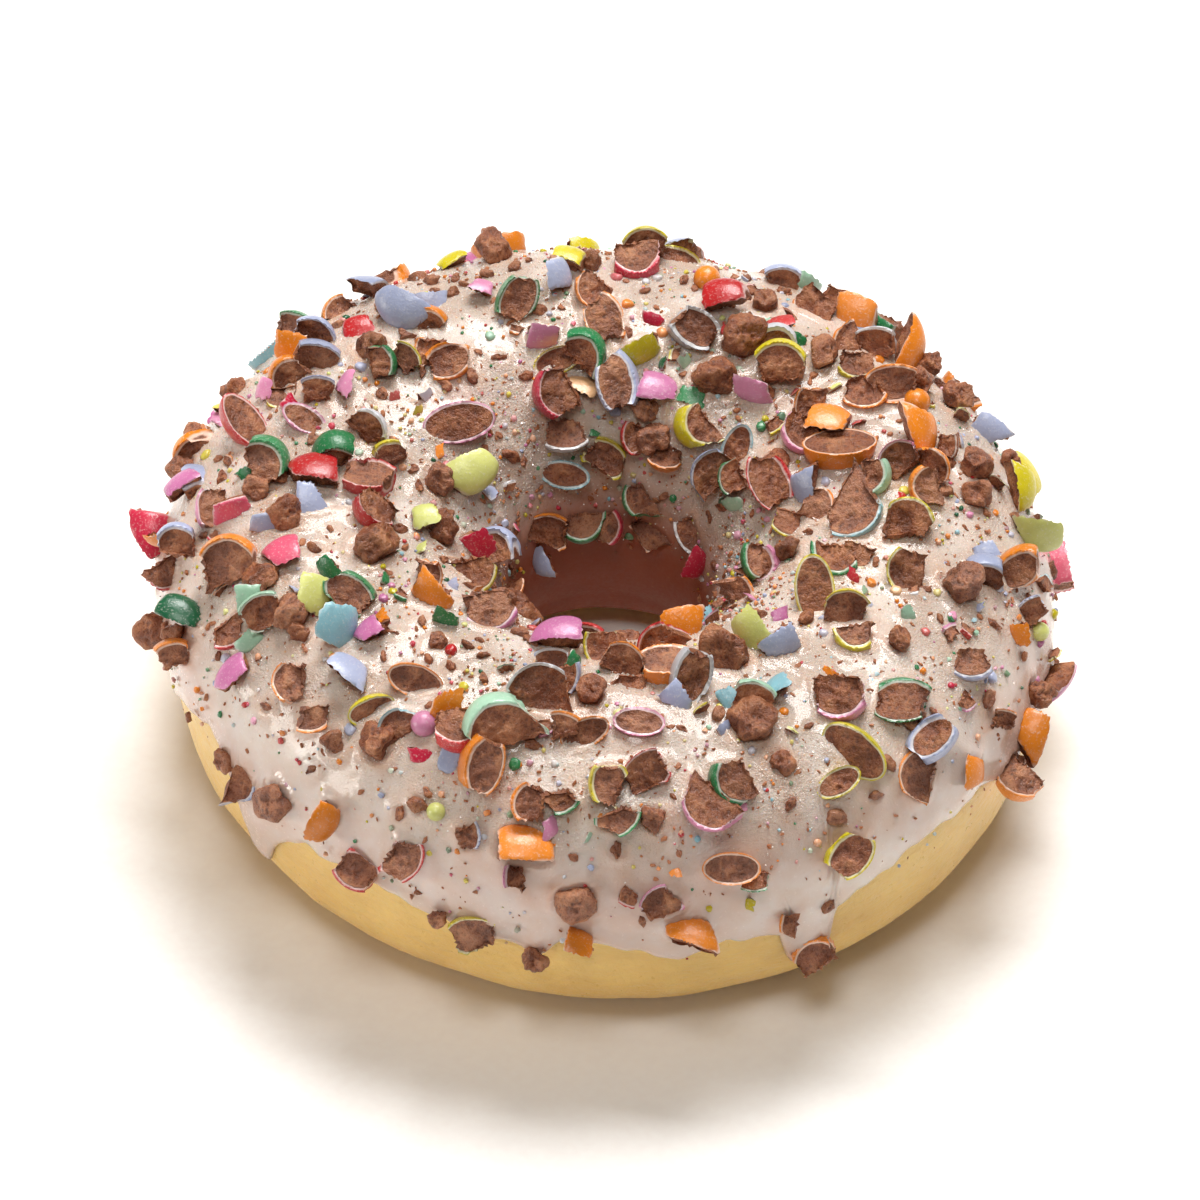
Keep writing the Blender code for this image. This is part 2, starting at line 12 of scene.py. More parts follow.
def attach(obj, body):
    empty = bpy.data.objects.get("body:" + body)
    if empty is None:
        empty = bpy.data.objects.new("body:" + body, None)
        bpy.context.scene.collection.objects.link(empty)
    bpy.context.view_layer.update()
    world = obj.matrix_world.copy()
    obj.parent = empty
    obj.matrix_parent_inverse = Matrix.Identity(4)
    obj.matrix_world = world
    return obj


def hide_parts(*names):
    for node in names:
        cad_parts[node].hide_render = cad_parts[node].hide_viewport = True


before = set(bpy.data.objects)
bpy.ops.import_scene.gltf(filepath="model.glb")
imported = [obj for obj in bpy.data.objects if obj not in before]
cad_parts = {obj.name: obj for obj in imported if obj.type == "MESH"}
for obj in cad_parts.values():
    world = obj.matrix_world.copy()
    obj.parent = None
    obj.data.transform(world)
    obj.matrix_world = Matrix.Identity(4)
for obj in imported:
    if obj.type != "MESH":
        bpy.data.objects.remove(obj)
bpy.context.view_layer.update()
MM = 0.001


# The camera. It looks down on the ring from the front at 46 degrees, from 0.9 m away through a long lens.
RING_AXIS_AT = (0.585 * MM, 0.722 * MM)  # where the ring's axis stands
SLOPE = math.radians(46.0)  # how far above the table the camera looks from
CAMERA_AWAY = 0.9
LOOK_HEIGHT = 17.0 * MM

lens = bpy.data.cameras.new("Camera")
lens.lens = 266.4
lens.sensor_width = 36.0
lens.shift_x = -0.00575
lens.shift_y = 0.0133
lens.clip_start, lens.clip_end = 0.05, 20.0
camera = bpy.data.objects.new("Camera", lens)
camera.location = (
    RING_AXIS_AT[0],
    RING_AXIS_AT[1] - CAMERA_AWAY * math.cos(SLOPE),
    LOOK_HEIGHT + CAMERA_AWAY * math.sin(SLOPE),
)
camera.rotation_euler = (math.pi / 2 - SLOPE, 0.0, 0.0)
bpy.context.scene.collection.objects.link(camera)
bpy.context.scene.camera = camera


# The dough: a yeast ring, proved round and fried gold, its tube flattened where it lies on the table.
# Its crust is thin and satin, puckered where it shrank as it cooled, and it shows below the glaze and in the hole.
RING_RADIUS = 27.5 * MM  # from the ring's axis to the middle of its tube
TUBE_HALF_WIDTH = 17.0 * MM
TUBE_MIDDLE_HEIGHT = 16.4 * MM
TOP_RISE = 17.2 * MM
BELLY_DROP = 17.7 * MM
TUBE_POWER = 2.25
ROUND_SWELL = ((0.0, 0.0), (0.023, -0.017), (-0.001, 0.011))
HEIGHT_SWELL = ((-0.034, 0.048), (-0.030, 0.005))
GLAZE_INSET = 1.3 * MM  # how far the dough lies under the glaze's face
DOUGH_COLUMNS = 420
BARE_STEP = 1.35  # degrees round the tube between the bare crust's rows, and the rows under the glaze
HIDDEN_STEP = 9.0
# Proving leaves broad swells, and cooling puckers the crust along the ring: height and width in mm, how much wider
# they are along the ring than up it, and a seed.
CRUST_SWELLS = ((0.16, 7.0, 1.0, 3), (0.07, 2.6, 2.0, 4), (0.03, 1.1, 2.0, 5))


def smooth_step(value, start, end):
    x = np.clip((value - start) / (end - start), 0.0, 1.0)
    return x * x * (3.0 - 2.0 * x)


def swell(azimuth, shares):
    turns = (np.cos(k * azimuth) * c + np.sin(k * azimuth) * s for k, (c, s) in enumerate(shares, 1))
    return 1.0 + sum(turns)


def ring_point(azimuth, around, inset=0.0):
    """The ring's surface at an azimuth and a direction round the tube, in radians, or a face inset from it."""
    c, s = np.cos(around), np.sin(around)
    out = (TUBE_HALF_WIDTH - inset) * np.sign(c) * np.abs(c) ** (2 / TUBE_POWER)
    rise = np.where(s > 0, TOP_RISE, BELLY_DROP) - inset
    up = rise * np.sign(s) * np.abs(s) ** (2 / TUBE_POWER)
    spare = (RING_RADIUS + TUBE_HALF_WIDTH) * (swell(azimuth, ROUND_SWELL) - 1.0)
    radius = RING_RADIUS + out + spare * np.clip((out / TUBE_HALF_WIDTH + 1.0) / 2.0, 0.0, 1.0)
    height = np.maximum(TUBE_MIDDLE_HEIGHT + up, 0.0) * swell(azimuth, HEIGHT_SWELL)
    x = RING_AXIS_AT[0] + radius * np.cos(azimuth)
    y = RING_AXIS_AT[1] + radius * np.sin(azimuth)
    return np.stack([x, y, height], -1)


def ring_normal(azimuth, around):
    step = 0.001
    along = ring_point(azimuth + step, around) - ring_point(azimuth - step, around)
    across = ring_point(azimuth, around + step) - ring_point(azimuth, around - step)
    normal = np.cross(along, across)
    return normal / np.maximum(np.linalg.norm(normal, axis=-1, keepdims=True), 1e-12)


def dough_inset(around):
    """How far the dough lies inside the ring's surface. It swells out to meet it below the glaze."""
    degrees = np.degrees(around) % 360.0
    degrees = np.where(degrees > 270.0, degrees - 360.0, degrees)
    return GLAZE_INSET * smooth_step(degrees, -38.0, -6.0) * smooth_step(-degrees, -222.0, -192.0)


def lumps(points, pitch, seed):
    """Smooth lumps from -1 to 1 at each point, about a pitch across."""
    lattice = np.random.default_rng(seed).uniform(-1.0, 1.0, (32, 32, 32))
    place = points / pitch + 512.0
    cell = np.floor(place).astype(int)
    share = place - cell
    share = share * share * (3.0 - 2.0 * share)
    total = np.zeros(len(points))
    for corner in ((x, y, z) for x in (0, 1) for y in (0, 1) for z in (0, 1)):
        weight = np.where(corner, share, 1.0 - share).prod(1)
        total += weight * lattice[tuple(((cell + corner) % 32).T)]
    return total


def mesh_piece(name, points, faces, marks=()):
    """A smooth-shaded mesh object. Marks are (name, value at each point) that its material reads."""
    mesh = bpy.data.meshes.new(name)
    sides = faces.shape[1]
    mesh.vertices.add(len(points))
    mesh.vertices.foreach_set("co", points.astype(np.float32).ravel())
    mesh.loops.add(faces.size)
    mesh.loops.foreach_set("vertex_index", faces.astype(np.int32).ravel())
    mesh.polygons.add(len(faces))
    mesh.polygons.foreach_set("loop_start", np.arange(0, faces.size, sides, dtype=np.int32))
    mesh.polygons.foreach_set("use_smooth", np.ones(len(faces), dtype=bool))
    for mark, values in marks:
        layer = mesh.attributes.new(mark, "FLOAT", "POINT")
        layer.data.foreach_set("value", values.astype(np.float32))
    mesh.update(calc_edges=True)
    mesh.validate()
    piece = bpy.data.objects.new(name, mesh)
    bpy.context.scene.collection.objects.link(piece)
    return piece


def grid_faces(rows, columns):
    """Quads of a grid whose rows are loops, with the last row joined to the first."""
    r, c = np.meshgrid(np.arange(rows), np.arange(columns), indexing="ij")
    after, beside = (r + 1) % rows, (c + 1) % columns
    corners = (r * columns + c, r * columns + beside, after * columns + beside, after * columns + c)
    return np.stack(corners, -1).reshape(-1, 4)


def set_inputs(tree, made, inputs):
    """Each input of a node given a value or linked from a socket."""
    for key, value in dict(inputs).items():
        if isinstance(value, bpy.types.NodeSocket):
            tree.links.new(value, made.inputs[key])
        else:
            made.inputs[key].default_value = value
    return made


def node(tree, kind, inputs=(), **settings):
    """A shader node with its settings and inputs."""
    made = tree.nodes.new("ShaderNode" + kind)
    for key, value in settings.items():
        setattr(made, key, value)
    return set_inputs(tree, made, inputs)


def colour(red, green, blue):
    """A colour as the eye names it, from 0 to 255, in the shaders' linear light."""
    return (*((c / 255 / 12.92 if c < 10.3 else ((c / 255 + 0.055) / 1.055) ** 2.4) for c in (red, green, blue)), 1.0)


def new_group(name, ins, outs):
    """An empty shader group. Ins are (name, kind, default), outs are (name, kind)."""
    group = bpy.data.node_groups.new(name, "ShaderNodeTree")
    for title, kind, value in ins:
        group.interface.new_socket(title, in_out="INPUT", socket_type="NodeSocket" + kind).default_value = value
    for title, kind in outs:
        group.interface.new_socket(title, in_out="OUTPUT", socket_type="NodeSocket" + kind)
    return group, group.nodes.new("NodeGroupInput"), group.nodes.new("NodeGroupOutput")


def placed_group(tree, group, **values):
    """The group as a node in a material, with its named inputs set or linked."""
    made = tree.nodes.new("ShaderNodeGroup")
    made.node_tree = group
    return set_inputs(tree, made, values)


def grain_group():
    """Clouds, grain and pits at three scales, in the piece's own coordinates: every finish here draws on them."""
    scales = (("Clouds", 200.0), ("Grain", 2000.0), ("Pits", 1200.0))
    ins = [(f"{scale}_per_metre", "Float", default) for scale, default in scales]
    group, given, out = new_group("Food grain", ins, [(scale, "Float") for scale, _ in scales])
    place = node(group, "TexCoord").outputs["Object"]
    clouds = node(group, "TexNoise", {"Vector": place, "Scale": given.outputs[0], "Detail": 4.0, "Roughness": 0.55})
    grain = node(group, "TexNoise", {"Vector": place, "Scale": given.outputs[1], "Detail": 3.0, "Roughness": 0.65})
    pits = node(group, "TexVoronoi", {"Vector": place, "Scale": given.outputs[2]})
    set_inputs(group, out, {"Clouds": clouds.outputs[0], "Grain": grain.outputs[0], "Pits": pits.outputs["Distance"]})
    return group


FOOD_GRAIN = grain_group()


def mix(tree, share, first, second):
    """Two colours mixed by a share."""
    return node(tree, "Mix", {"Factor": share, 6: first, 7: second}, data_type="RGBA").outputs[2]


def span(tree, value, low, high, to_low=0.0, to_high=1.0):
    """A value's range from low to high, spread over another range."""
    kind = {"Value": value, "From Min": low, "From Max": high, "To Min": to_low, "To Max": to_high}
    return node(tree, "MapRange", kind).outputs["Result"]


def times(tree, first, second):
    return node(tree, "Math", {0: first, 1: second}, operation="MULTIPLY").outputs[0]


def plus(tree, first, second):
    return node(tree, "Math", {0: first, 1: second}, operation="ADD").outputs[0]


def bumps(tree, height, strength, distance):
    return node(tree, "Bump", {"Height": height, "Strength": strength, "Distance": distance}).outputs[0]


def mark_of(tree, name):
    """The value that the mesh carries at each point under this name."""
    return node(tree, "Attribute", attribute_name=name).outputs["Fac"]


def new_finish(name):
    """A material with its Principled shader and nothing else."""
    material = bpy.data.materials.new(name)
    material.use_nodes = True
    return material, material.node_tree, material.node_tree.nodes["Principled BSDF"]


def dough_finish():
    """Fried crust: gold, browner and paler in clouds, with fine puckers and a thin film of oil."""
    material, tree, shader = new_finish("Fried crust")
    grain = placed_group(tree, FOOD_GRAIN, Clouds_per_metre=120.0, Grain_per_metre=1100.0, Pits_per_metre=900.0)
    clouds, fine = grain.outputs["Clouds"], grain.outputs["Grain"]
    place = node(tree, "TexCoord").outputs["Object"]
    height = node(tree, "SeparateXYZ", {0: place}).outputs["Z"]
    base = mix(tree, span(tree, clouds, 0.35, 0.65), colour(232, 190, 106), colour(214, 166, 80))
    base = mix(tree, span(tree, height, 0.002, 0.014, 0.0, 0.55), base, colour(244, 210, 132))
    base = mix(tree, span(tree, fine, 0.66, 0.78, 0.0, 0.35), base, colour(168, 112, 52))
    stretched = node(tree, "Mapping", {"Vector": place, "Scale": (1.0, 1.0, 2.2)}).outputs[0]
    puckers = {"Vector": stretched, "Scale": 480.0, "Detail": 5.0, "Roughness": 0.6, "Distortion": 0.4}
    relief = plus(tree, node(tree, "TexNoise", puckers).outputs[0], times(tree, fine, 0.35))
    look = {
        "Base Color": base,
        "Roughness": span(tree, fine, 0.3, 0.7, 0.26, 0.48),
        "Normal": bumps(tree, relief, 0.7, 0.0005),
        "Subsurface Weight": 0.35,
        "Subsurface Radius": (1.0, 0.55, 0.2),
        "Subsurface Scale": 0.0025,
        "Specular IOR Level": 0.45,
        "Coat Weight": 0.15,
        "Coat Roughness": 0.25,
    }
    set_inputs(tree, shader, look)
    return material


def dough_rows():
    """Directions round the tube, in degrees: close together where the crust is bare, and few under the glaze."""
    bare = list(np.arange(12.0, -90.0, -BARE_STEP)) + list(np.arange(-90.0, -192.0, -BARE_STEP))
    return np.array(bare + list(np.arange(-192.0, -348.0, -HIDDEN_STEP)))


def columns_round(count):
    """Azimuths spread evenly round the ring, in radians."""
    return np.radians(np.arange(count) * 360.0 / count)


def dough_points():
    azimuth, around = np.meshgrid(columns_round(DOUGH_COLUMNS), np.radians(dough_rows()))
    points = ring_point(azimuth, around, dough_inset(around)).reshape(-1, 3)
    normals = ring_normal(azimuth, around).reshape(-1, 3)
    relief = 0.0
    for high, wide, drawn_out, seed in CRUST_SWELLS:
        relief += high * MM * lumps(points * (1.0, 1.0, drawn_out), wide * MM, seed)
    relief *= smooth_step(points[:, 2], 0.2 * MM, 3.0 * MM)
    points += normals * relief[:, None]
    points[:, 2] = np.maximum(points[:, 2], 0.0)
    return points


dough = mesh_piece("dough_ring", dough_points(), grid_faces(len(dough_rows()), DOUGH_COLUMNS)[:, ::-1])
dough.data.materials.append(dough_finish())
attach(dough, "root")
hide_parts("dough")


# The topping: milk-chocolate lentils in a thin sugar shell over a white undercoat, crushed and strewn on the wet glaze.
# Each piece is a broken half with its lens-shaped cut face up (cut), a bit of shell seen from outside (dome), a brown
# break with shell on one side (rind), bare chocolate (lump), a flake (chip), a whole ball, or a speck of shell (fleck).
LENTIL_ACROSS = 7.6 * MM
LENTIL_THICK = 4.1 * MM
SINK = 0.45 * MM  # how deep a small piece sits in the glaze, and the share of its width that a wide one does
SINK_SHARE = {"cut": 0.19, "dome": 0.18, "rind": 0.28, "lump": 0.23, "chip": 0.17, "ball": 0.17}
DEEPEST = 0.55 * MM
OVER_DOUGH = 0.75 * MM  # how far the pieces stay off the dough, and off the table
OVER_TABLE = 0.2 * MM
SOLID_FROM = 4.8  # mm across: pieces from this size up are in the solids too
OUT_OF_SIGHT = 32  # wide pieces at the back and in the front of the hole, where the photo shows nothing
CRUMBS = 2400
DUST = 4000
DUST_BELOW = 0.8 * MM  # bits narrower than this are dust, which lies on the glaze
FACET = 0.36 * MM  # the pieces' mesh is about this fine
POINT_COUNTS = (12, 26, 40, 64, 100, 160, 250, 400, 620, 900, 1250)  # of one piece, by its width
WORN = {"dome": 9, "chip": 9, "lump": 15}  # the kinds with worn corners, and how little: the lower, the rounder
X, Y, Z = np.eye(3)

# How often each colour turns up where the pieces are too small or too hidden to list, and its dye.
SHADES = {
    "brown": (100, (152, 93, 61)),
    "orange": (14, (240, 138, 24)),
    "yellow": (9, (216, 200, 22)),
    "red": (5, (198, 32, 36)),
    "crimson": (3, (206, 30, 68)),
    "rose": (2, (226, 92, 122)),
    "pink": (4, (224, 144, 182)),
    "orchid": (3, (200, 114, 164)),
    "peach": (1, (238, 188, 138)),
    "lemon": (3, (222, 226, 132)),
    "green": (6, (34, 132, 76)),
    "deep_green": (1, (10, 96, 60)),
    "mint": (3, (172, 214, 186)),
    "sky": (3, (150, 204, 218)),
    "lilac": (7, (172, 182, 214)),
    "pale": (2, (214, 216, 222)),
}

# The pieces in sight, where they lie: kind, azimuth, direction round the tube, width in mm, and which way the piece's
# long side or its shell points. Those that don't face straight out of the slope they are seen on have two more: which
# way and how far the face leans. All angles are in degrees.
LENTILS = {
    "brown": (
        ("lump", 139, 80, 4.2, 20, 90, 10), ("lump", 151, 36, 4.0, 0, 90, 30), ("lump", 194, 101, 5.4, 0),
        ("lump", 164, 28, 3.8, 0, 120, 20), ("lump", 176, 69, 3.8, 70), ("lump", 173.5, 76, 3.2, 20),
        ("lump", 182.5, 79, 4.8, 10, 90, 10), ("lump", 191, 21, 3.6, 60, 180, 20), ("lump", 184, 5, 4.6, 200, 180, 40),
        ("lump", 195, 65, 4.6, 0), ("lump", 205, 67, 5.0, 0), ("lump", 209, 66, 3.2, 10), ("lump", 233, 53, 4.8, 40),
        ("lump", 226.5, 44, 3.2, 30), ("lump", 220, 8, 4.8, 80, 260, 10), ("lump", 209.5, 6, 3.4, 100, 200, 10),
        ("lump", 267, 94, 4.2, 40), ("lump", 242.5, 38, 2.6, 0), ("lump", 266, 15, 4.8, 70, 270, 10),
        ("lump", 247.5, -1, 2.8, 0, 270, 20), ("lump", 260.5, -10, 3.6, 80, 270, 20), ("lump", 297, 78, 5.6, 0),
        ("lump", 276.5, 48, 4.0, 0), ("lump", 297.5, 60, 3.4, -30), ("lump", 320.5, 50, 3.8, 20),
        ("lump", 343.5, 12, 3.8, 0, 0, 20), ("lump", 348, 65, 5.2, 0), ("lump", 14, 56, 4.4, 0),
        ("lump", 7.5, 59, 4.0, 50), ("rind", 17, 65, 3.0, 0), ("lump", 29, 44, 4.4, 110, 30, 20),
        ("lump", 18, 34, 3.4, 30, 20, 20), ("lump", 330.5, 75, 3.6, 40), ("lump", 31, 60, 4.4, 0, 60, 10),
        ("lump", 43.5, 82, 4.2, 70), ("lump", 36, 43, 4.0, 0, 30, 20), ("lump", 57.5, 92, 5.8, 70),
        ("lump", 60, 74, 3.6, 0), ("lump", 93, 71, 3.4, 70), ("lump", 107.5, 51, 4.8, 70, 90, 30),
        ("lump", 70, 142, 4.8, 0), ("lump", 75, 132, 4.0, 70), ("lump", 163, 125, 4.4, 110),
        ("lump", 181, 129, 4.6, 100), ("lump", 220, 148, 4.0, 0), ("lump", 229, 94, 2.8, 0),
        ("lump", 272, 121, 3.4, 0), ("lump", 302, 108, 6.0, -30), ("lump", 57.5, 111, 5.2, 0),
        ("lump", 25, 121, 4.6, 30), ("lump", 352, 121, 3.6, 0),
    ),
    "orange": (
        ("rind", 133, 47, 3.8, 140, 0, 20), ("dome", 144, 54, 5.0, -30, 100, 10),
        ("rind", 149.5, 60, 4.4, 150, 300, 10), ("rind", 161, 28, 4.8, 170, 250, 30),
        ("dome", 175.5, 24, 3.6, 0, 200, 20), ("rind", 187.5, 57, 6.2, 100, 250, 20),
        ("rind", 193, 17, 4.0, 100, 300, 10), ("rind", 214.5, 50, 4.6, 170, 60, 15),
        ("rind", 222, 46, 3.6, -80, 90, 10), ("dome", 229.5, 15, 4.8, 70, 240, 10),
        ("cut", 232, 79, 5.8, -20, 300, 15), ("dome", 240.5, 73, 3.8, 10, 60, 30),
        ("rind", 250, 60, 6.0, -10, 200, 10), ("cut", 266, 79, 5.2, 25, 270, 10),
        ("rind", 262.5, 81, 3.4, 80, 200, 10), ("rind", 258, 50, 4.4, 160, 0, 10),
        ("dome", 258.5, 35, 6.4, -5, 90, 15), ("dome", 266.5, 1, 3.8, -30, 270, 10),
        ("rind", 285, 104, 5.8, -80, 90, 45), ("cut", 286.5, 27, 5.8, 0, 270, 5), ("dome", 280.5, 4, 5.4, 0, 110, 10),
        ("rind", 293.5, 0, 2.6, 170, 0, 10), ("rind", 297.5, -17, 4.8, 120, 270, 20),
        ("rind", 315.5, 35, 5.2, 170, 0, 15), ("dome", 325.5, 18, 3.4, 90), ("dome", 338.5, 8, 5.0, 60, 340, 20),
        ("rind", 333.5, -3, 5.2, -120, 60, 20), ("rind", 334, 24, 2.8, 90, 270, 10),
        ("dome", 346, 36, 3.0, -60, 300, 10), ("rind", 357, 43, 4.8, 110, 250, 20), ("dome", 19.5, 73, 5.8, 80, 0, 25),
        ("rind", 12.5, 72, 4.4, 20, 200, 20), ("rind", 8, 79, 4.2, 170, 350, 10), ("cut", 19.5, 98, 7.6, 10, 90, 50),
        ("dome", 29, 95, 5.0, -30, 130, 15), ("rind", 35, 98, 3.8, 170, 350, 10), ("rind", 31, 83, 4.6, -80, 90, 20),
        ("rind", 32, 70, 5.6, 100, 280, 15), ("ball", 27, 67, 2.8, 0), ("rind", 43, 73, 4.2, 200, 20, 15),
        ("dome", 38.5, 50, 5.2, 60, 30, 25), ("dome", 48.5, 52, 4.6, 0, 90, 30), ("rind", 52.5, 66, 5.2, -130, 90, 15),
        ("ball", 71.5, 73, 2.8, 0), ("rind", 94, 89, 4.6, 210, 30, 20), ("rind", 91.5, 101, 5.2, 210, 60, 20),
        ("rind", 133.5, 93, 3.6, 180, 0, 10), ("rind", 132, 101, 4.8, -80, 90, 15),
        ("rind", 126.5, 84, 3.4, 70, 250, 10), ("rind", 62.5, 147, 4.0, -90, 90, 30),
        ("dome", 215, 109, 5.2, -20, 90, 10), ("rind", 207, 115, 3.4, 10, 190, 10),
        ("rind", 275, 112, 4.8, 50, 250, 10), ("dome", 300, 135, 5.4, 0, 90, 30), ("rind", 124, 171, 4.6, 90, 270, 20),
        ("rind", 63, 173, 4.8, 40, 220, 10), ("rind", 5, 109, 4.2, -20, 140, 10), ("rind", 335, 136, 3.8, 20, 200, 10),
    ),
    "yellow": (
        ("rind", 137, 91, 3.6, 55, 200, 10), ("dome", 155, 38, 2.4, 0, 90, 20), ("rind", 156, 67, 3.8, -90, 90, 20),
        ("rind", 163, 105, 3.6, 110, 0, 10), ("cut", 229, 62, 5.0, 20, 290, 25),
        ("rind", 269.5, 60, 4.4, 180, 350, 10), ("rind", 252.5, -1, 5.0, 90, 270, 25),
        ("cut", 309.5, 54, 7.5, -40, 230, 15), ("cut", 304.5, 46, 4.8, 30, 90, 5),
        ("rind", 303, 18, 5.0, -35, 140, 10), ("dome", 12.5, 35, 5.0, 80, 20, 20), ("rind", 346, 84, 5.2, 180, 0, 10),
        ("rind", 333, 93, 5.0, 90, 270, 10), ("cut", 335.5, 105, 7.2, 95, 270, 5),
        ("rind", 347.5, 97, 3.6, -100, 60, 15), ("rind", 325, 85, 4.2, -90, 90, 10),
        ("rind", 0.5, 84, 5.4, 75, 260, 10), ("rind", 37, 78, 4.4, -100, 90, 20), ("rind", 48, 92, 5.8, 90, 260, 10),
        ("cut", 78, 63, 5.2, -20, 90, 15), ("rind", 84, 57, 5.2, 95, 270, 10), ("dome", 96.5, 69, 4.0, 0, 100, 20),
        ("cut", 105, 114, 5.0, 20, 270, 10), ("dome", 80.5, 111, 4.6, 30), ("dome", 114, 50, 3.2, 20, 90, 20),
        ("rind", 90, 150, 4.6, 60, 250, 10), ("rind", 203, 139, 5.0, -60, 120, 10),
        ("rind", 267, 119, 3.8, 190, 0, 10), ("rind", 57, 131, 5.0, 200, 20, 10), ("rind", 2, 121, 4.0, -110, 90, 10),
    ),
    "red": (
        ("dome", 136, 69, 3.4, 0, 270, 20), ("cut", 161, 56, 6.8, -52, 40, 35), ("dome", 172, 87, 6.4, 20, 80, 15),
        ("rind", 174.5, 101, 5.4, -100, 90, 45), ("rind", 184, 102, 5.2, -130, 50, 40),
        ("rind", 182, 25, 4.4, -50, 120, 10), ("rind", 200.5, 44, 3.8, -70, 120, 10),
        ("rind", 235, 2, 4.6, -110, 70, 10), ("rind", 242.5, 16, 4.6, -30, 170, 10),
        ("rind", 245, 67, 5.4, -80, 100, 35), ("rind", 276, 66, 5.0, 120, 280, 10), ("dome", 54, 81, 3.4, 10, 90, 10),
        ("dome", 67, 79, 5.2, -10, 170, 15), ("rind", 78.5, 143, 4.0, 190, 20, 10),
        ("rind", 262, 129, 4.4, 80, 240, 10), ("rind", 285, 121, 5.2, 150, 300, 15),
        ("rind", 21, 124, 5.8, 200, 30, 10),
    ),
    "crimson": (
        ("dome", 172, 16, 5.0, 80, 190, 30), ("chip", 240.5, 55, 2.6, 60), ("rind", 84.5, 74, 5.4, -80, 90, 30),
        ("rind", 110, 126, 5.8, 190, 20, 20), ("dome", 180, 145, 4.2, 120, 0, 20), ("rind", 88, 177, 4.0, 0, 180, 10),
        ("dome", 30, 172, 3.6, 80, 200, 10),
    ),
    "rose": (
        ("chip", 179, 60, 4.4, 55, 300, 30), ("dome", 191, 75, 4.6, 20, 120, 10),
    ),
    "pink": (
        ("dome", 153.5, 57, 2.8, 70), ("dome", 149, 84, 3.0, 60), ("cut", 160.5, 79, 5.0, -30, 60, 25),
        ("rind", 177, 50, 4.6, 180, 30, 20), ("ball", 238.5, 66, 2.6, 0), ("cut", 276, 83, 5.2, -5, 90, 15),
        ("rind", 257.5, 22, 2.8, 180, 0, 10), ("rind", 312.5, 71, 5.8, -80, 110, 20),
        ("rind", 284, 48, 6.0, -120, 60, 25), ("rind", 276.5, 17, 4.2, 130, 300, 10),
        ("rind", 15.5, 84, 4.8, 110, 290, 15), ("rind", 28, 107, 4.8, -120, 60, 15),
        ("dome", 107, 105, 4.2, 10, 90, 10), ("dome", 114, 79, 2.8, 0), ("cut", 142, 119, 7.4, 10),
        ("dome", 46.5, 107, 4.8, -20, 180, 15), ("rind", 347, 129, 4.2, -30, 150, 10),
    ),
    "orchid": (
        ("dome", 168.5, 34, 4.4, 30, 120, 20), ("dome", 217, 84, 3.6, 60), ("dome", 205.5, 37, 4.6, 60, 150, 15),
        ("dome", 347, 5, 5.2, 0, -10, 80), ("dome", 73, 122, 4.6, -10), ("rind", 231, 119, 5.8, -80, 90, 20),
        ("dome", 254, 124, 5.8, 15, 100, 15),
    ),
    "peach": (
        ("dome", 98, 125, 3.6, 0),
    ),
    "lemon": (
        ("dome", 203.5, 78, 5.0, 60, 120, 15), ("ball", 245.5, 38, 1.9, 0), ("ball", 350, 25, 2.0, 0),
        ("dome", 5.5, 30, 5.6, -25, 20, 20), ("dome", 151, 135, 5.6, 25, 100, 20), ("dome", 179, 122, 3.2, 0, 270, 10),
        ("dome", 313, 111, 5.0, -40, 60, 20),
    ),
    "green": (
        ("rind", 137.5, 39, 4.4, 60, 230, 20), ("rind", 141, 88, 3.8, 10, 180, 10),
        ("rind", 169, 72, 5.4, 50, 230, 10), ("rind", 166, 90, 4.8, 100, 270, 40), ("chip", 172, 65, 2.4, 60),
        ("dome", 199, 86, 3.4, -50), ("rind", 206.5, 88, 5.2, 45, 210, 10), ("dome", 261, 105, 3.2, 80),
        ("rind", 263.5, 52, 3.4, -60, 110, 10), ("rind", 272.5, 47, 3.8, -40, 150, 15),
        ("rind", 288.5, 57, 5.2, -150, 20, 15), ("rind", 289.5, 20, 3.0, -90, 90, 10),
        ("rind", 321, 59, 5.8, -90, 90, 10), ("rind", 345, 102, 4.8, -90, 90, 15),
        ("rind", 109.5, 88, 5.2, 150, 330, 10), ("rind", 96, 110, 5.0, 60, 240, 15), ("dome", 225, 103, 3.0, -15),
        ("rind", 104, 177, 4.4, -90, 90, 10), ("rind", 75, 165, 4.0, 200, 0, 10), ("chip", 61, 121, 3.6, 10, 90, 20),
        ("rind", 33.5, 136, 3.8, 190, 0, 10), ("rind", 353, 136, 4.2, 200, 40, 15),
    ),
    "deep_green": (
        ("dome", 190, 29, 4.8, -20, 200, 15),
    ),
    "mint": (
        ("chip", 197.5, 57, 3.8, -10, 270, 15), ("rind", 201, 60, 4.8, 110, 290, 10),
        ("chip", 204, 50, 3.2, -60, 200, 10), ("rind", 249, 77, 7.0, 120, 300, 15),
        ("rind", 299.5, 86, 4.6, 80, 270, 10), ("rind", 10.5, 91, 4.4, -20, 160, 10), ("chip", 56, 86, 3.2, 80),
    ),
    "sky": (
        ("dome", 213, 78, 5.2, 90, 200, 10), ("rind", 234, 61, 4.2, 150, 300, 10), ("chip", 295, 87, 3.4, -20),
        ("dome", 305, 87, 3.2, 60, 90, 10), ("rind", 359.5, 97.5, 6.6, -50, 130, 20),
        ("cut", 111, 155, 5.2, -10, 270, 10), ("cut", 38.5, 127, 5.4, 70, 270, 5),
    ),
    "lilac": (
        ("dome", 127, 47, 4.4, 0, 100, 50), ("rind", 139, 55, 5.0, 60, 250, 30), ("dome", 129, 73, 5.8, -35, 60, 20),
        ("rind", 145, 67, 5.2, 80, 270, 20), ("rind", 152, 77, 3.8, 90, 270, 15), ("rind", 178, 34, 4.4, 90, 270, 20),
